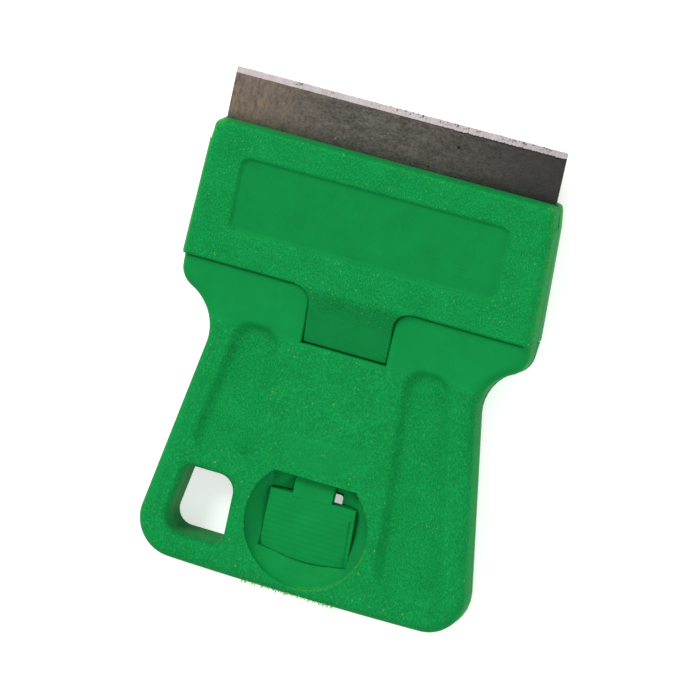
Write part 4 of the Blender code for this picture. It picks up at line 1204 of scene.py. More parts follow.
@dataclass
class Handle:
    """The waisted handle: shoulders, notch, finger grooves, hanging hole, window and thumb dish."""

    top: float = 21.78 * MM
    end: float = 57.5 * MM
    thickness: float = 5.35 * MM
    seam: float = 2.05 * MM
    shoulder_half: float = 20.75 * MM
    shoulder_from_top: float = 1.4 * MM
    shoulder_radius: float = 2.7 * MM
    shoulder_rise: float = 0.32 * MM
    slope: float = 6.5 * MM
    waist_half: float = 16.15 * MM
    waist_from_top: float = 9.1 * MM
    waist_radius: float = 5.5 * MM
    end_half: float = 20.675 * MM
    end_corner: float = 4.6 * MM
    crown: float = 0.2 * MM
    side_radius: float = 1.3 * MM
    top_radius: float = 0.3 * MM
    notch_half: float = 5.11 * MM
    notch_end: float = 28.32 * MM
    notch_corner: float = 1.9 * MM
    notch_radius: float = 0.2 * MM
    lean_share: float = 0.05
    groove_top: float = 27.35 * MM
    groove_length: float = 26.65 * MM
    short_groove_length: float = 17.35 * MM
    groove_depth: float = 0.95 * MM
    groove_wall: float = 1.4 * MM
    groove_corner: float = 2.5 * MM
    groove_top_sides: Point = (7.05 * MM, 13.0 * MM)
    groove_end_sides: Point = (8.8 * MM, 17.55 * MM)
    short_groove_end_inner: float = 7.45 * MM
    hole_top: float = 45.85 * MM
    hole_end: float = 54.1 * MM
    hole_inner: float = 9.3 * MM
    hole_margin: float = 3.3 * MM
    hole_corners: Point = (1.9 * MM, 1.2 * MM)
    hole_radius: float = 0.8 * MM
    window_top: float = 43.6 * MM
    window_top_half: float = 5.07 * MM
    window_side_top: float = 45.68 * MM
    window_side_half: float = 5.21 * MM
    window_end: float = 52.81 * MM
    window_end_half: float = 5.35 * MM
    window_bulge: float = 0.7 * MM
    window_radius: float = 0.06 * MM
    dish_radius: float = 7.33 * MM
    dish_depth: float = 2.8 * MM
    dish_centre: float = 48.9 * MM
    dish_rim: float = 0.22 * MM
    moon_top: float = 38.7 * MM
    moon_half: float = 4.6 * MM
    moon_length: float = 3.9 * MM
    moon_rise: float = 0.1 * MM
    moon_wall: float = 0.5 * MM
    corridor_half: float = 6.4 * MM
    corridor_end: float = 43.6 * MM
    shelf_inner: Point = (2.66 * MM, 3.17 * MM)
    shelf_step: Point = (2.28 * MM, 44.45 * MM)
    shelf_height: float = 3.7 * MM
    shelf_wall: float = 0.06 * MM
    corridor_ceiling: float = 4.35 * MM
    leg_way: tuple[Point, Point] = ((7.2 * MM, 14.7 * MM), (29.3 * MM, 3.75 * MM))
    crown_steps: int = 24
    bulge_steps: int = 12
    moon_steps: int = 40
    moon_spacing: float = 0.15 * MM
    groove_spacing: float = 0.3 * MM
    shelf_spacing: float = 0.08 * MM
    dish_arcs: tuple[int, int] = (-2, 12)
    dish_arc_ends: tuple[float, float] = (-225, 45)
    dish_turn: float = 5.0
    dish_margin: float = 0.008
    dish_step: float = 1.6
    grain_lead: float = 0.6 * MM
    grain_fade: float = 1.2 * MM
    moon_bareness: float = 0.5
    # How much of the dish's flanks gets the swirl paint, which also darkens them as painted shade.
    dish_grain: float = 0.15
    dish_swirl_and_shade: float = 0.8
    swirl_start: float = 3.5 * MM
    swirl_fade: float = 2.5 * MM
    # Reach and strength of the painted highlights along the sides and on the dish's rim.
    rim_reach: float = 0.45 * MM
    rim_fade: float = 4.0 * MM
    rim_least: float = 0.15
    dish_rim_reach: float = 0.3 * MM
    dish_rim_highlight: float = 0.5
    dish_rim_lean: float = 0.4

    def right_side(self) -> list[Point]:
        """The right side from its rounded end corner up to the top of the shoulder."""
        run = self.end - self.top - self.waist_from_top
        lean = math.atan2(self.end_half - self.waist_half, run)
        outwards = Vector((math.cos(lean), math.sin(lean)))
        upwards = Vector((-math.sin(lean), math.cos(lean)))
        waist = Vector((self.waist_half, at(self.top + self.waist_from_top)))
        shoulder_x = self.shoulder_half - self.shoulder_radius
        shoulder = Vector((shoulder_x, at(self.top + self.shoulder_from_top)))
        beside = waist + outwards * self.waist_radius
        reach = shoulder - beside
        span = self.shoulder_radius + self.waist_radius
        drop = math.sqrt(span**2 - reach.dot(outwards) ** 2)
        hollow = beside + upwards * (reach.dot(upwards) - drop)
        towards = shoulder - hollow
        meet = math.degrees(math.atan2(towards.y, towards.x))
        corner_x = self.end_half - self.end_corner * (1 / math.cos(lean) + math.tan(lean))
        corner = (corner_x, at(self.end - self.crown) + self.end_corner)
        points = arc(corner, self.end_corner, -90, math.degrees(lean), 4.0)
        points += arc(hollow, self.waist_radius, 180 + math.degrees(lean), meet, 4.0)
        points += arc(shoulder, self.shoulder_radius, meet - 180, 0)[1:]
        points.append((self.shoulder_half, at(self.top)))
        return points

    def sides(self) -> list[Side]:
        """The outline of the handle."""
        side = self.right_side()
        half, end = side[0][0], at(self.end)
        crown = [(half * s, end + self.crown * s * s) for s in np.linspace(0, 1, self.crown_steps)]
        notch_centre = (self.notch_half + self.notch_corner, at(self.top + self.notch_corner))
        notch = arc(notch_centre, self.notch_corner, 90, 180)
        notch += [(self.notch_half, at(self.notch_end)), (0.0, at(self.notch_end))]
        right = [
            Side([*crown, *side[1:]], self.side_radius),
            Side([side[-1], notch[0]], self.top_radius),
            Side(notch, self.notch_radius),
        ]
        return mirror_sides(right)

    def half_width(self, distance: float) -> float:
        """Half the handle's width along its straight sides."""
        share = (distance - self.top - self.waist_from_top) / (self.end - self.top - self.waist_from_top)
        return self.waist_half + (self.end_half - self.waist_half) * share

    def hole(self) -> list[Point]:
        """The outline of the hanging hole."""
        top, end = self.hole_top, self.hole_end
        corners = [
            (self.hole_margin - self.half_width(end), at(end)),
            (-self.hole_inner, at(end)),
            (-self.hole_inner, at(top)),
            (self.hole_margin - self.half_width(top), at(top)),
        ]
        large, small = self.hole_corners
        return round_corners(corners, (large, small, large, small))

    def window(self) -> list[Point]:
        """The outline of the window: round the pad, whose end bulges, and narrower round its neck."""
        shares = np.linspace(0, 1, self.bulge_steps)
        half, end = self.window_end_half, self.window_end
        right = [(half * s, at(end + self.window_bulge * (1 - s * s))) for s in shares]
        right.append((self.window_side_half, at(self.window_side_top)))
        left = mirrored(right[1:])
        inner_left, inner_right = self.shelf_inner
        low, high = at(self.window_side_top), at(self.window_top + self.shelf_wall)
        step_x, step_end = self.shelf_step
        neck = [(inner_right, low), (inner_right, at(step_end)), (step_x, at(step_end)), (step_x, high)]
        return [*right, *neck, (-inner_left, high), (-inner_left, low), *left]

    def shelves(self) -> list[list[Point]]:
        """The outlines of the low shelves on each side of the pad's neck, which reach over the window."""
        low, high = at(self.window_side_top), at(self.window_top)
        inner_left, inner_right = self.shelf_inner
        spill = self.shelf_wall
        step_x, step_end = self.shelf_step
        right = [
            (inner_right - spill, low - spill),
            (self.window_side_half, low - spill),
            (self.window_top_half, high),
            (step_x - spill, high),
            (step_x - spill, at(step_end) - spill),
            (inner_right - spill, at(step_end) - spill),
        ]
        left = [(inner_left - spill, low - spill), *right[1:3], (inner_left - spill, high)]
        return [right, mirrored(left)]

    def groove(self, side: int, length: float, inner: float) -> list[Point]:
        """The rim of a finger groove, on the right where side is 1 and on the left where it is -1."""
        top_inner, top_outer = self.groove_top_sides
        outer = top_outer + (self.groove_end_sides[1] - top_outer) * length / self.groove_length
        top, end = at(self.groove_top), at(self.groove_top + length)
        corners = [(inner, end), (outer, end), (top_outer, top), (top_inner, top)]
        outline = round_corners(corners, [self.groove_corner] * len(corners))
        return outline if side > 0 else mirrored(outline)

    def grooves(self) -> list[list[Point]]:
        """The rims of both finger grooves."""
        inner = self.groove_end_sides[0]
        right = self.groove(1, self.groove_length, inner)
        return [right, self.groove(-1, self.short_groove_length, self.short_groove_end_inner)]

    def moon(self) -> list[Point]:
        """The outline of the raised half-moon above the window."""
        angles = np.linspace(math.pi, 2 * math.pi, self.moon_steps)
        top = at(self.moon_top)
        return [(self.moon_half * math.cos(a), top + self.moon_length * math.sin(a)) for a in angles]

    def face(self, points: np.ndarray) -> np.ndarray:
        """The height of the front face, before its edges are rounded."""
        away = from_edge(points)
        slope = np.clip((self.top + self.slope - away) / self.slope, 0, 1)
        height = self.thickness + self.shoulder_rise * slope**2
        for rim in self.grooves():
            wall = np.clip(depth_inside(points, rim) / self.groove_wall, 0, 1)
            height -= self.groove_depth * (1 - np.cos(math.pi * wall)) / 2
        height += self.moon_rise * soft_step(depth_inside(points, self.moon()) / self.moon_wall)
        reach = np.hypot(points[:, 0], away - self.dish_centre) / self.dish_radius
        bowl = self.thickness - self.dish_depth * np.sqrt(np.maximum(1 - reach**2, 0))
        bowl += np.maximum(reach - 1, 0) * self.dish_radius
        bowl = np.where(away < self.window_top, self.thickness + OVERRUN, bowl)
        blend = np.clip(0.5 + (bowl - height) / (2 * self.dish_rim), 0, 1)
        height = bowl + (height - bowl) * blend - self.dish_rim * blend * (1 - blend)
        for shelf in self.shelves():
            sunk = np.clip(depth_inside(points, shelf) / self.shelf_wall, 0, 1)
            height += (np.minimum(self.shelf_height, height) - height) * sunk
        return height

    def dished(self, points: np.ndarray) -> np.ndarray:
        """Whether each point lies in the dish."""
        away = from_edge(points)
        reach = np.hypot(points[:, 0], away - self.dish_centre)
        return (reach < self.dish_radius) & (away > self.window_top)

    def grain(self, points: np.ndarray) -> np.ndarray:
        """Grain on the face below the tongue, half as much on the half-moon and little in the dish."""
        below = soft_step((from_edge(points) - self.notch_end + self.grain_lead) / self.grain_fade)
        moon = soft_step(depth_inside(points, self.moon()) / self.moon_wall + 1)
        return below * (1 - self.moon_bareness * moon) * np.where(self.dished(points), self.dish_grain, 1.0)

    def swirl(self, points: np.ndarray) -> np.ndarray:
        """Cutter marks on the dish's flanks, with painted shade on them."""
        flank = soft_step((np.abs(points[:, 0]) - self.swirl_start) / self.swirl_fade)
        return self.dish_swirl_and_shade * self.dished(points) * flank

    def rim_paint(self, points: np.ndarray, rims: Sequence[np.ndarray]) -> np.ndarray:
        """Where the edges catch the light: the handle's sides, and the dish's rim at its lower right.

        Args:
            points: The places to paint.
            rims: Runs of points along the handle's sides and end.

        Returns:
            The paint at each place, from 0 to 1.
        """
        x, y = points[:, 0], points[:, 1] - at(self.dish_centre)
        gap = np.abs(np.hypot(x, y) - self.dish_radius)
        lower_right = (y < 0) * soft_step((x - self.dish_rim_lean * y) / self.rim_fade)
        dish = (1 - soft_step(gap / self.dish_rim_reach)) * lower_right
        left = soft_step(0.5 - x / self.rim_fade)
        end = soft_step((at(self.end - self.end_corner) - points[:, 1]) / self.end_corner)
        bright = self.rim_least + (1 - self.rim_least) * np.maximum(left, end)
        return np.maximum(edge_paint(points, rims, self.rim_reach) * bright, self.dish_rim_highlight * dish)

    def dish_rings(self) -> list[np.ndarray]:
        """Arcs of points in the dish, closer together towards its rim, with two more round the rim."""
        centre = (0.0, at(self.dish_centre))
        rings = []
        for step in range(*self.dish_arcs):
            inner = math.cos(math.radians(self.dish_turn * step))
            share = inner if step > 0 else 1 - step * self.dish_margin
            ring = arc(centre, self.dish_radius * share, *self.dish_arc_ends, self.dish_step)
            rings.append(np.array([p for p in ring if p[1] < at(self.window_top)]))
        return rings

    def build(self) -> bpy.types.Object:
        """The front shell of the handle, with its hollows."""
        lines = wall_lines(self.moon(), self.moon_wall, (0, 0.33, 0.66, 1), self.moon_spacing)
        lines += self.dish_rings()
        for rim in self.grooves():
            lines += wall_lines(rim, self.groove_wall, (0, 0.5, 1), self.groove_spacing)
        for shelf in self.shelves():
            lines += wall_lines(shelf, self.shelf_wall, (0, 1), self.shelf_spacing)
        sides = self.sides()
        rims = [resample(side.points, RIM_SPACING) for side in sides if side.radius > self.top_radius]
        relief = Relief(
            sides=sides,
            face=self.face,
            base=lambda points: np.full(len(points), self.seam),
            holes=[Side(self.hole(), self.hole_radius), Side(self.window(), self.window_radius)],
            lines=lines,
            lean_share=self.lean_share,
            # The swirl paint also darkens the dish's flanks as painted shade, and the edge paint is a
            # painted highlight.
            paints={
                Mark.GRAIN: self.grain,
                Mark.SWIRL_AND_SHADE: self.swirl,
                Mark.EDGE: lambda points: self.rim_paint(points, rims),
            },
        )
        obj = relief.build("handle_front")
        below = self.seam - OVERRUN
        (leg_inner, leg_outer), (leg_end, leg_top) = self.leg_way
        cuts = [
            block(
                "corridor",
                (-self.corridor_half, self.top - OVERRUN, below),
                (self.corridor_half, self.corridor_end, self.corridor_ceiling),
            ),
            *blocks("leg_way", (leg_inner, self.top - OVERRUN, below), (leg_outer, leg_end, leg_top)),
        ]
        combine(obj, cuts, Operation.CUT)
        smooth(obj.data)
        return obj

    def dress(self, obj: bpy.types.Object, plastic: bpy.types.Material) -> None:
        """Finishes the handle's front shell."""
        dress(obj, plastic)
        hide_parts("handle_front_shell")
        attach(obj, "handle")


@dataclass
class PressTab:
    """The rocker: a pad in the window on a neck, a round bar on stub pins, an arm and a peg."""

    top: float = 45.8 * MM
    length: float = 6.99 * MM
    top_half: float = 5.19 * MM
    end_half: float = 5.33 * MM
    bulge: float = 0.7 * MM
    height: float = 4.3 * MM
    fall: float = 0.7 * MM
    gauge: float = 1.3 * MM
    radius: float = 0.1 * MM
    ridge_pitch: float = 0.66 * MM
    ridge_height: float = 0.011 * MM
    strip_top: float = 47.1 * MM
    strip_depth: float = 0.2 * MM
    strip_width: float = 0.62 * MM
    valley_width: float = 0.12 * MM
    neck_sides: Point = (-2.5 * MM, 2.2 * MM)
    neck: tuple[Point, ...] = (
        (47.1 * MM, 3.35 * MM),
        (47.1 * MM, 4.16 * MM),
        (46.0 * MM, 4.285 * MM),
        (44.5 * MM, 4.3 * MM),
        (43.6 * MM, 4.05 * MM),
        (42.3 * MM, 4.1 * MM),
        (42.3 * MM, 3.05 * MM),
        (43.6 * MM, 3.0 * MM),
    )
    hinge: Point = (42.3 * MM, 3.4 * MM)
    bar: Point = (4.6 * MM, 0.7 * MM)
    pins: Point = (5.9 * MM, 0.65 * MM)
    arm_half: float = 2.3 * MM
    arm: tuple[Point, Point] = ((34.9 * MM, 2.7 * MM), (42.3 * MM, 3.4 * MM))
    peg_half: float = 1.4 * MM
    peg: tuple[Point, Point] = ((34.9 * MM, 1.6 * MM), (36.5 * MM, 3.05 * MM))
    bulge_steps: int = 16
    spacing: float = 0.13 * MM if FINE else 0.4 * MM
    strip_narrowing: float = 0.35
    strip_start: float = 0.35 * MM
    strip_fading: float = 0.6
    # Strength of the painted highlight on the strip, and the depth at which it is full.
    strip_highlight: float = 0.14
    highlight_depth: float = 0.08 * MM

    def outline(self) -> list[Point]:
        """The outline of the pad."""
        end = self.top + self.length
        shares = np.linspace(0, 1, self.bulge_steps)
        right = [(self.end_half * s, at(end + self.bulge * (1 - s * s))) for s in shares]
        right.append((self.top_half, at(self.top)))
        return right + mirrored(right[1:])

    def strip(self, points: np.ndarray) -> np.ndarray:
        """How deep the sloping strip beside the pad's right edge lies under its face."""
        away = from_edge(points)
        share = np.clip((away - self.strip_top) / (self.top + self.length - self.strip_top), 0, 1)
        valley = self.end_half - self.strip_width * (1 - self.strip_narrowing * share)
        across = points[:, 0] - valley
        rising = 1 - np.clip(across / (self.end_half - valley), 0, 1)
        depth = np.where(across < 0, 1 - np.clip(-across / self.valley_width, 0, 1), rising)
        starting = soft_step((away - self.strip_top) / self.strip_start)
        return self.strip_depth * depth * starting * (1 - self.strip_fading * share)

    def strip_paint(self, points: np.ndarray) -> np.ndarray:
        """A faint painted highlight where the strip lies low."""
        return self.strip_highlight * np.clip(self.strip(points) / self.highlight_depth, 0, 1)

    def face(self, points: np.ndarray) -> np.ndarray:
        """The height of the pad's face, which falls towards its end."""
        away = from_edge(points)
        ridges = self.ridge_height * np.sin(2 * math.pi * away / self.ridge_pitch)
        return self.height - self.fall * (away - self.top) / self.length + ridges - self.strip(points)

    def under(self, points: np.ndarray) -> np.ndarray:
        """The height of the pad's underside."""
        away = from_edge(points)
        return self.height - self.gauge - self.fall * (away - self.top) / self.length

    def rod(self, name: str, half: float, radius: float) -> bpy.types.Object:
        """A round bar across the scraper, on the hinge's line."""
        return cross_prism(name, arc(self.hinge, radius, 0, 360, 12.0)[:-1], half)

    def build(self) -> bpy.types.Object:
        """The whole rocker."""
        outline = self.outline()
        relief = Relief(
            sides=[Side([*outline, outline[0]], self.radius)],
            face=self.face,
            base=self.under,
            spacing=self.spacing,
            edge_steps=4,
            # The edge paint on the strip is a painted highlight.
            paints={Mark.EDGE: self.strip_paint},
        )
        obj = relief.build("tab_moulding")
        (arm_front, arm_low), (arm_back, arm_high) = self.arm
        (peg_front, peg_low), (peg_back, peg_high) = self.peg
        parts = [
            stack("neck", [[(x, at(d), z) for d, z in self.neck] for x in self.neck_sides]),
            self.rod("bar", *self.bar),
            self.rod("stub_pins", *self.pins),
            block("arm", (-self.arm_half, arm_front, arm_low), (self.arm_half, arm_back, arm_high)),
            block("peg", (-self.peg_half, peg_front, peg_low), (self.peg_half, peg_back, peg_high)),
        ]
        combine(obj, parts, Operation.JOIN)
        smooth(obj.data)
        return obj

    def dress(self, obj: bpy.types.Object, plastic: bpy.types.Material) -> None:
        """Finishes the rocker."""
        dress(obj, plastic)
        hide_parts("press_tab")
        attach(obj, "press_tab")


@dataclass
class Blade:
    """The blade: rolled sheet with a round notch in each side and an edge ground from both faces."""

    half: float = BladeSteel.half_width
    depth: float = 19.0 * MM
    gauge: float = 0.23 * MM
    height: float = 3.15 * MM
    grind: float = BladeSteel.grind_depth
    edge_gauge: float = 0.03 * MM
    notch_depth: float = 1.7 * MM
    notch_radius: float = 1.5 * MM
    notch_place: float = 10.5 * MM
    spacing: float = 0.12 * MM
    nick_depth: float = 0.07 * MM
    nick_rarity: int = 8
    waver: float = 0.03 * MM
    waver_gain: int = 3
    waver_points: int = 13
    seed: int = 7

    def right_side(self) -> list[Point]:
        """The right side, from the back corner up to where the ground edge starts."""
        bottom = self.half - self.notch_depth + self.notch_radius
        low, high = at(self.notch_place + self.notch_radius), at(self.notch_place - self.notch_radius)
        side = [(self.half, at(self.depth)), (self.half, low)]
        side += arc((bottom, at(self.notch_place)), self.notch_radius, 270, 90)
        return [*side, (self.half, high), (self.half, at(self.grind))]

    def rows(self) -> tuple[np.ndarray, np.ndarray]:
        """The line where the grind starts and the cutting edge with its nicks, from right to left."""
        chance = np.random.default_rng(self.seed)
        count = round(2 * self.half / self.spacing) + 1
        across = np.linspace(self.half, -self.half, count)
        nicks = self.nick_depth * chance.random(count) ** self.nick_rarity
        window = np.hanning(self.waver_points)
        wander = np.convolve(chance.normal(size=count), window / window.sum(), "same")
        wander = wander * self.waver * self.waver_gain
        for row in (nicks, wander):
            row[[0, -1]] = 0
        start = np.stack([across, at(self.grind) - wander], axis=1)
        return start, np.stack([across, at(0.0) - nicks], axis=1)

    def build(self) -> bpy.types.Object:
        """The blade as a closed solid."""
        right = self.right_side()
        start, edge = self.rows()
        body = np.array([*right[:-1], *start, *mirrored(right[:-1])])
        first = len(right) - 1
        row = range(first, first + len(start))
        bm = bmesh.new()
        faces = []
        for sign in (1, -1):
            whole = [bm.verts.new((x, y, self.height + sign * self.gauge / 2)) for x, y in body]
            sharp = [bm.verts.new((x, y, self.height + sign * self.edge_gauge / 2)) for x, y in edge]
            faces.append((whole, sharp))
            bm.faces.new(whole)
            for i, j in zip(range(len(edge) - 1), row):
                bm.faces.new((whole[j], sharp[i], sharp[i + 1], whole[j + 1]))
        (front, front_edge), (back, back_edge) = faces
        for i in range(len(edge) - 1):
            bm.faces.new((front_edge[i], front_edge[i + 1], back_edge[i + 1], back_edge[i]))
        for i in range(len(body)):
            j = (i + 1) % len(body)
            if i not in row or j not in row:
                bm.faces.new((front[i], front[j], back[j], back[i]))
        for i, j in ((row[0], 0), (row[-1], -1)):
            bm.faces.new((front[i], front_edge[j], back_edge[j], back[i]))
        bmesh.ops.recalc_face_normals(bm, faces=bm.faces)
        mesh = bpy.data.meshes.new("blade_sheet")
        bm.to_mesh(mesh)
        bm.free()
        return new_object("blade_sheet", mesh)

    def dress(self, obj: bpy.types.Object, steel: bpy.types.Material) -> None:
        """Finishes the blade."""
        dress(obj, steel)
        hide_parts("blade")
        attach(obj, "handle")


@dataclass
class Burrs:
    """Broken flash at the gate: small spikes in a row along the handle's rounded end."""

    left: float = -6.0 * MM
    right: float = 5.2 * MM
    end: float = Handle.end
    thickness: float = Handle.thickness
    radius: float = Handle.side_radius
    turn: float = math.radians(42)
    path_points: int = 12
    count: int = 110
    size: float = 0.36 * MM
    corners: int = 5
    radius_shares: tuple[float, float] = (0.3, 0.05)
    shift_shares: tuple[float, float, float] = (0.5, 0.25, 0.25)
    lean: float = 0.5
    sway: float = 0.6
    least_scale: float = 0.25
    seed: int = 4

    def path(self) -> list[tuple[float, float, float]]:
        """Points along the rounded edge, where the spikes stand."""
        y = at(self.end) + self.radius * (1 - math.cos(self.turn))
        z = self.thickness - self.radius * (1 - math.sin(self.turn))
        return [(x, y, z) for x in np.linspace(self.left, self.right, self.path_points)]

    def build(self, plastic: bpy.types.Material) -> bpy.types.Object:
        """The spikes, from a geometry tree that sets one at each place along the path."""
        mesh = bpy.data.meshes.new("flash_burrs")
        points = self.path()
        mesh.from_pydata(points, [(i, i + 1) for i in range(len(points) - 1)], [])
        obj = new_object("flash_burrs", mesh)
        values = {"Count": self.count, "Size": self.size, "Tilt": self.turn, "Seed": self.seed}
        graph = GeometryGraph("burr_row", {**values, "Plastic": plastic})
        size = graph.value("Size")
        curve = graph.node("GeometryNodeMeshToCurve", {}, {"Mesh": graph.given.out("Geometry")}).out(0)
        inputs = {"Curve": curve, "Count": graph.value("Count")}
        spread = graph.node("GeometryNodeCurveToPoints", {}, inputs).out(0)
        lowest = tuple(-share for share in self.shift_shares)
        shift = graph.chance("FLOAT_VECTOR", lowest, self.shift_shares, 1)
        inputs = {"Vector": shift, "Scale": size}
        scaled = graph.node("ShaderNodeVectorMath", {"operation": "SCALE"}, inputs).out(0)
        moved = graph.node("GeometryNodeSetPosition", {}, {"Geometry": spread, "Offset": scaled}).out(0)
        foot, tip = (size * share for share in self.radius_shares)
        inputs = {"Vertices": self.corners, "Radius Bottom": foot, "Radius Top": tip, "Depth": size}
        spike = graph.node("GeometryNodeMeshCone", {}, inputs).out(0)
        lean = graph.chance("FLOAT", -self.lean, self.lean, 2)
        sway = graph.chance("FLOAT", -self.sway, self.sway, 3)
        turn = graph.vector(math.pi / 2 - graph.value("Tilt") + lean, sway)
        scale = graph.chance("FLOAT", self.least_scale, 1.0, 4)
        scales = graph.vector(scale, scale, scale)
        inputs = {"Points": moved, "Instance": spike, "Rotation": turn, "Scale": scales}
        row = graph.node("GeometryNodeInstanceOnPoints", {}, inputs).out(0)
        graph.finish(row, graph.value("Plastic"))
        graph.run(obj)
        return obj

    def dress(self, obj: bpy.types.Object) -> None:
        """Puts the spikes on the handle."""
        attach(obj, "handle")


@dataclass(frozen=True)
class KeptShape:
    """A CAD piece that keeps its shape, in a copy with its triangles joined and finished.

    Attributes:
        node: The node that the copy stands for.
        body: The body that it rides on.
        slot: Its material slot, which is not used.
        grained: Whether it is a shell, shaded smooth, with a grained back and a painted highlight
        line on its walls.
        line: The heights between which that line runs.
        flat_top: The highest Y that a point of its flat back may have.
        joined: Points nearer to each other than this are one point.
        level: What lies within this of the back counts as part of it.
        sliver: The least area of a face.
        flat_slope: The least part of a flat face's normal that lies along Z.
        back_slope: The most that the normal of a face of the back has along Z.
        wall_slopes: What a wall's normal has along Z.
    """

    node: str
    body: str
    slot: str
    grained: bool = False
    line: Point = (1.0 * MM, 1.55 * MM)
    flat_top: float = math.inf
    joined: float = 0.5e-3 * MM
    level: float = 0.01 * MM
    sliver: float = 1e-4 * MM * MM
    flat_slope: float = 0.95
    back_slope: float = -0.99
    wall_slopes: tuple[float, float] = (-0.6, 0.3)

    def mesh(self) -> bpy.types.Mesh:
        """The node's mesh, joined and without slivers."""
        bm = bmesh.new()
        bm.from_mesh(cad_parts[self.node].data)
        bmesh.ops.remove_doubles(bm, verts=bm.verts, dist=self.joined)
        for vert in bm.verts:
            if vert.co.z < self.level:
                vert.co.y = min(vert.co.y, self.flat_top)
        slivers = [face for face in bm.faces if face.calc_area() < self.sliver]
        bmesh.ops.delete(bm, geom=slivers, context="FACES_ONLY")
        mesh = bpy.data.meshes.new(f"{self.node}_finished")
        bm.to_mesh(mesh)
        bm.free()
        return mesh

    def paint(self, mesh: bpy.types.Mesh) -> None:
        """Paints the grain on a shell's back and a painted highlight line on its walls."""
        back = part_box(self.node)[0].z + self.level
        flat = [float(f.normal.z < self.back_slope and f.center.z < back) for f in mesh.polygons]
        mesh.attributes.new(Mark.GRAIN.value, "FLOAT", "FACE").data.foreach_set("value", flat)
        # A painted highlight line low on the walls, where the silhouette catches the light.
        (least, most), (low, high) = self.wall_slopes, self.line
        walls = [
            float(least < face.normal.z < most and low < mesh.vertices[v].co.z < high)
            for face in mesh.polygons
            for v in face.vertices
        ]
        mesh.attributes.new(Mark.EDGE.value, "FLOAT", "CORNER").data.foreach_set("value", walls)

    def build(self, material: bpy.types.Material) -> bpy.types.Object:
        """The finished copy, which stands for the node."""
        mesh = self.mesh()
        obj = new_object(mesh.name, mesh)
        if self.grained:
            smooth(mesh)
            for face in mesh.polygons:
                face.use_smooth = abs(face.normal.z) < self.flat_slope
            self.paint(mesh)
        dress(obj, material)
        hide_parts(self.node)
        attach(obj, self.body)
        return obj


@dataclass(frozen=True)
class Lamp:
    """A square lamp that faces the scraper."""

    name: str
    place: tuple[float, float, float]
    size: float
    power: float

    def build(self) -> None:
        """Puts the lamp in the scene."""
        light = bpy.data.lights.new(self.name, "AREA")
        light.size = self.size
        light.energy = self.power
        lamp = bpy.data.objects.new(self.name, light)
        bpy.context.scene.collection.objects.link(lamp)
        lamp.location = self.place
        lamp.rotation_euler = (-Vector(self.place)).to_track_quat("-Z", "Y").to_euler()


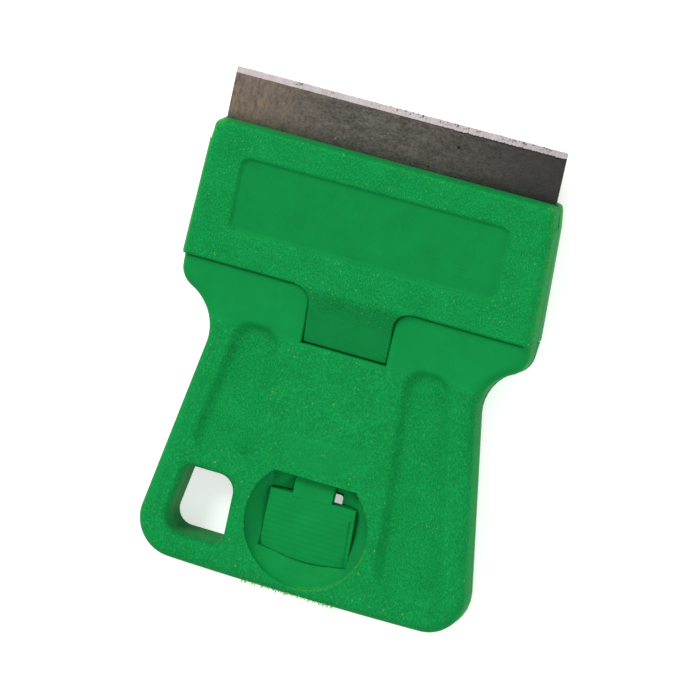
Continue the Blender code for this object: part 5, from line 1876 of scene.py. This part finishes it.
@dataclass
class Studio:
    """The floor, the light and the camera."""

    camera_place: tuple[float, float, float] = (102.40 * MM, 104.76 * MM, 417.28 * MM)
    camera_right: tuple[float, float, float] = (0.936, 0.2085, -0.2835)
    camera_up: tuple[float, float, float] = (-0.2639, 0.9488, -0.1734)
    focal_pixels: float = 3900.0
    image_pixels: float = 700.0
    sensor: float = 36.0
    clip_start: float = 1.0 * MM
    floor_half: float = 3.0
    floor_gap: float = 0.02 * MM
    floor_colour: Colour = (0.86, 0.86, 0.86)
    floor_glow: float = 0.52
    ambient: float = 0.68
    lamps: tuple[Lamp, ...] = (
        Lamp("key", (-0.62, 0.66, 0.72), 0.45, 9.0),
        Lamp("fill", (0.75, -0.1, 0.48), 0.5, 2.0),
    )

    @staticmethod
    def seen(graph: Graph) -> Signal:
        """1 for what the camera sees, also in or through a surface, and 0 for what lights one."""
        path = graph.node("ShaderNodeLightPath")
        reflected = path.out("Is Camera Ray").top(path.out("Is Glossy Ray"))
        return reflected.top(path.out("Is Transmission Ray"))

    def floor(self) -> bpy.types.Object:
        """A pale floor that keeps the scraper's shadow."""
        half = self.floor_half
        mesh = bpy.data.meshes.new("floor")
        low = CAD_BOX[0].z - self.floor_gap
        corners = [(-half, -half, low), (half, -half, low), (half, half, low), (-half, half, low)]
        mesh.from_pydata(corners, [], [(0, 1, 2, 3)])
        floor = new_object("floor", mesh)
        material, graph = new_material("floor_finish")
        matt = graph.node("ShaderNodeBsdfDiffuse", {}, {"Color": (*self.floor_colour, 1.0)})
        glow = graph.node("ShaderNodeEmission", {}, {"Strength": self.seen(graph) * self.floor_glow})
        both = graph.node("ShaderNodeAddShader", {}, {0: matt.out(0), 1: glow.out(0)})
        graph.node("ShaderNodeOutputMaterial", {}, {"Surface": both.out(0)})
        dress(floor, material)
        return floor

    def world(self) -> None:
        """Even light from all round, and white where the camera or a reflection looks past the floor."""
        world = bpy.data.worlds.new("studio")
        bpy.context.scene.world = world
        world.use_nodes = True
        graph = Graph(world.node_tree)
        strength = self.seen(graph) * (1 - self.ambient) + self.ambient
        inputs = {"Color": (1.0, 1.0, 1.0, 1.0), "Strength": strength}
        backdrop = graph.node("ShaderNodeBackground", {}, inputs)
        graph.node("ShaderNodeOutputWorld", {}, {"Surface": backdrop.out(0)})

    def camera(self) -> None:
        """The camera at the photograph's viewing angle."""
        data = bpy.data.cameras.new("camera")
        data.sensor_width = self.sensor
        data.lens = self.focal_pixels / self.image_pixels * self.sensor
        data.clip_start = self.clip_start
        camera = bpy.data.objects.new("camera", data)
        bpy.context.scene.collection.objects.link(camera)
        right, up = Vector(self.camera_right).normalized(), Vector(self.camera_up).normalized()
        turn = Matrix((right, up, right.cross(up))).transposed().to_4x4()
        camera.matrix_world = Matrix.Translation(self.camera_place) @ turn
        bpy.context.scene.camera = camera

    def build(self) -> None:
        """Sets up the whole studio."""
        self.floor()
        self.world()
        for lamp in self.lamps:
            lamp.build()
        self.camera()
        bpy.context.scene.view_settings.view_transform = "Standard"


def main() -> None:
    """Builds and dresses every piece, and reports each."""
    logging.basicConfig(level=logging.INFO, format="%(name)s: %(message)s")
    plastic = MouldedPlastic().material("green_moulding")
    blade_steel = BladeSteel().material("blade_steel")
    strip = StripSteel().material("strip_steel")
    flash = MouldedPlastic(colour=(0.24, 0.5, 0.15), pit=(0.14, 0.42, 0.11)).material("flash_moulding")
    made = []
    parts = ((Guard(), plastic), (Handle(), plastic), (PressTab(), plastic), (Blade(), blade_steel))
    for part, material in parts:
        obj = part.build()
        part.dress(obj, material)
        made.append(obj)
    burrs = Burrs()
    made.append(burrs.build(flash))
    burrs.dress(made[-1])
    guard_back = KeptShape(
        "guard_back_shell",
        "guard",
        "guard_plastic",
        grained=True,
        line=(1.1 * MM, 1.75 * MM),
        flat_top=at(7.6 * MM),
    )
    kept = (
        (guard_back, plastic),
        (KeptShape("handle_back_shell", "handle", "handle_plastic", grained=True), plastic),
        (KeptShape("blade_carrier", "handle", "inner_plastic"), plastic),
        (KeptShape("blade_spine", "handle", "spine_steel"), strip),
    )
    made += [shape.build(material) for shape, material in kept]
    for obj in made:
        log.info("%s: %d faces", obj.name, len(obj.data.polygons))
    Studio().build()


if __name__ == "__main__":
    main()
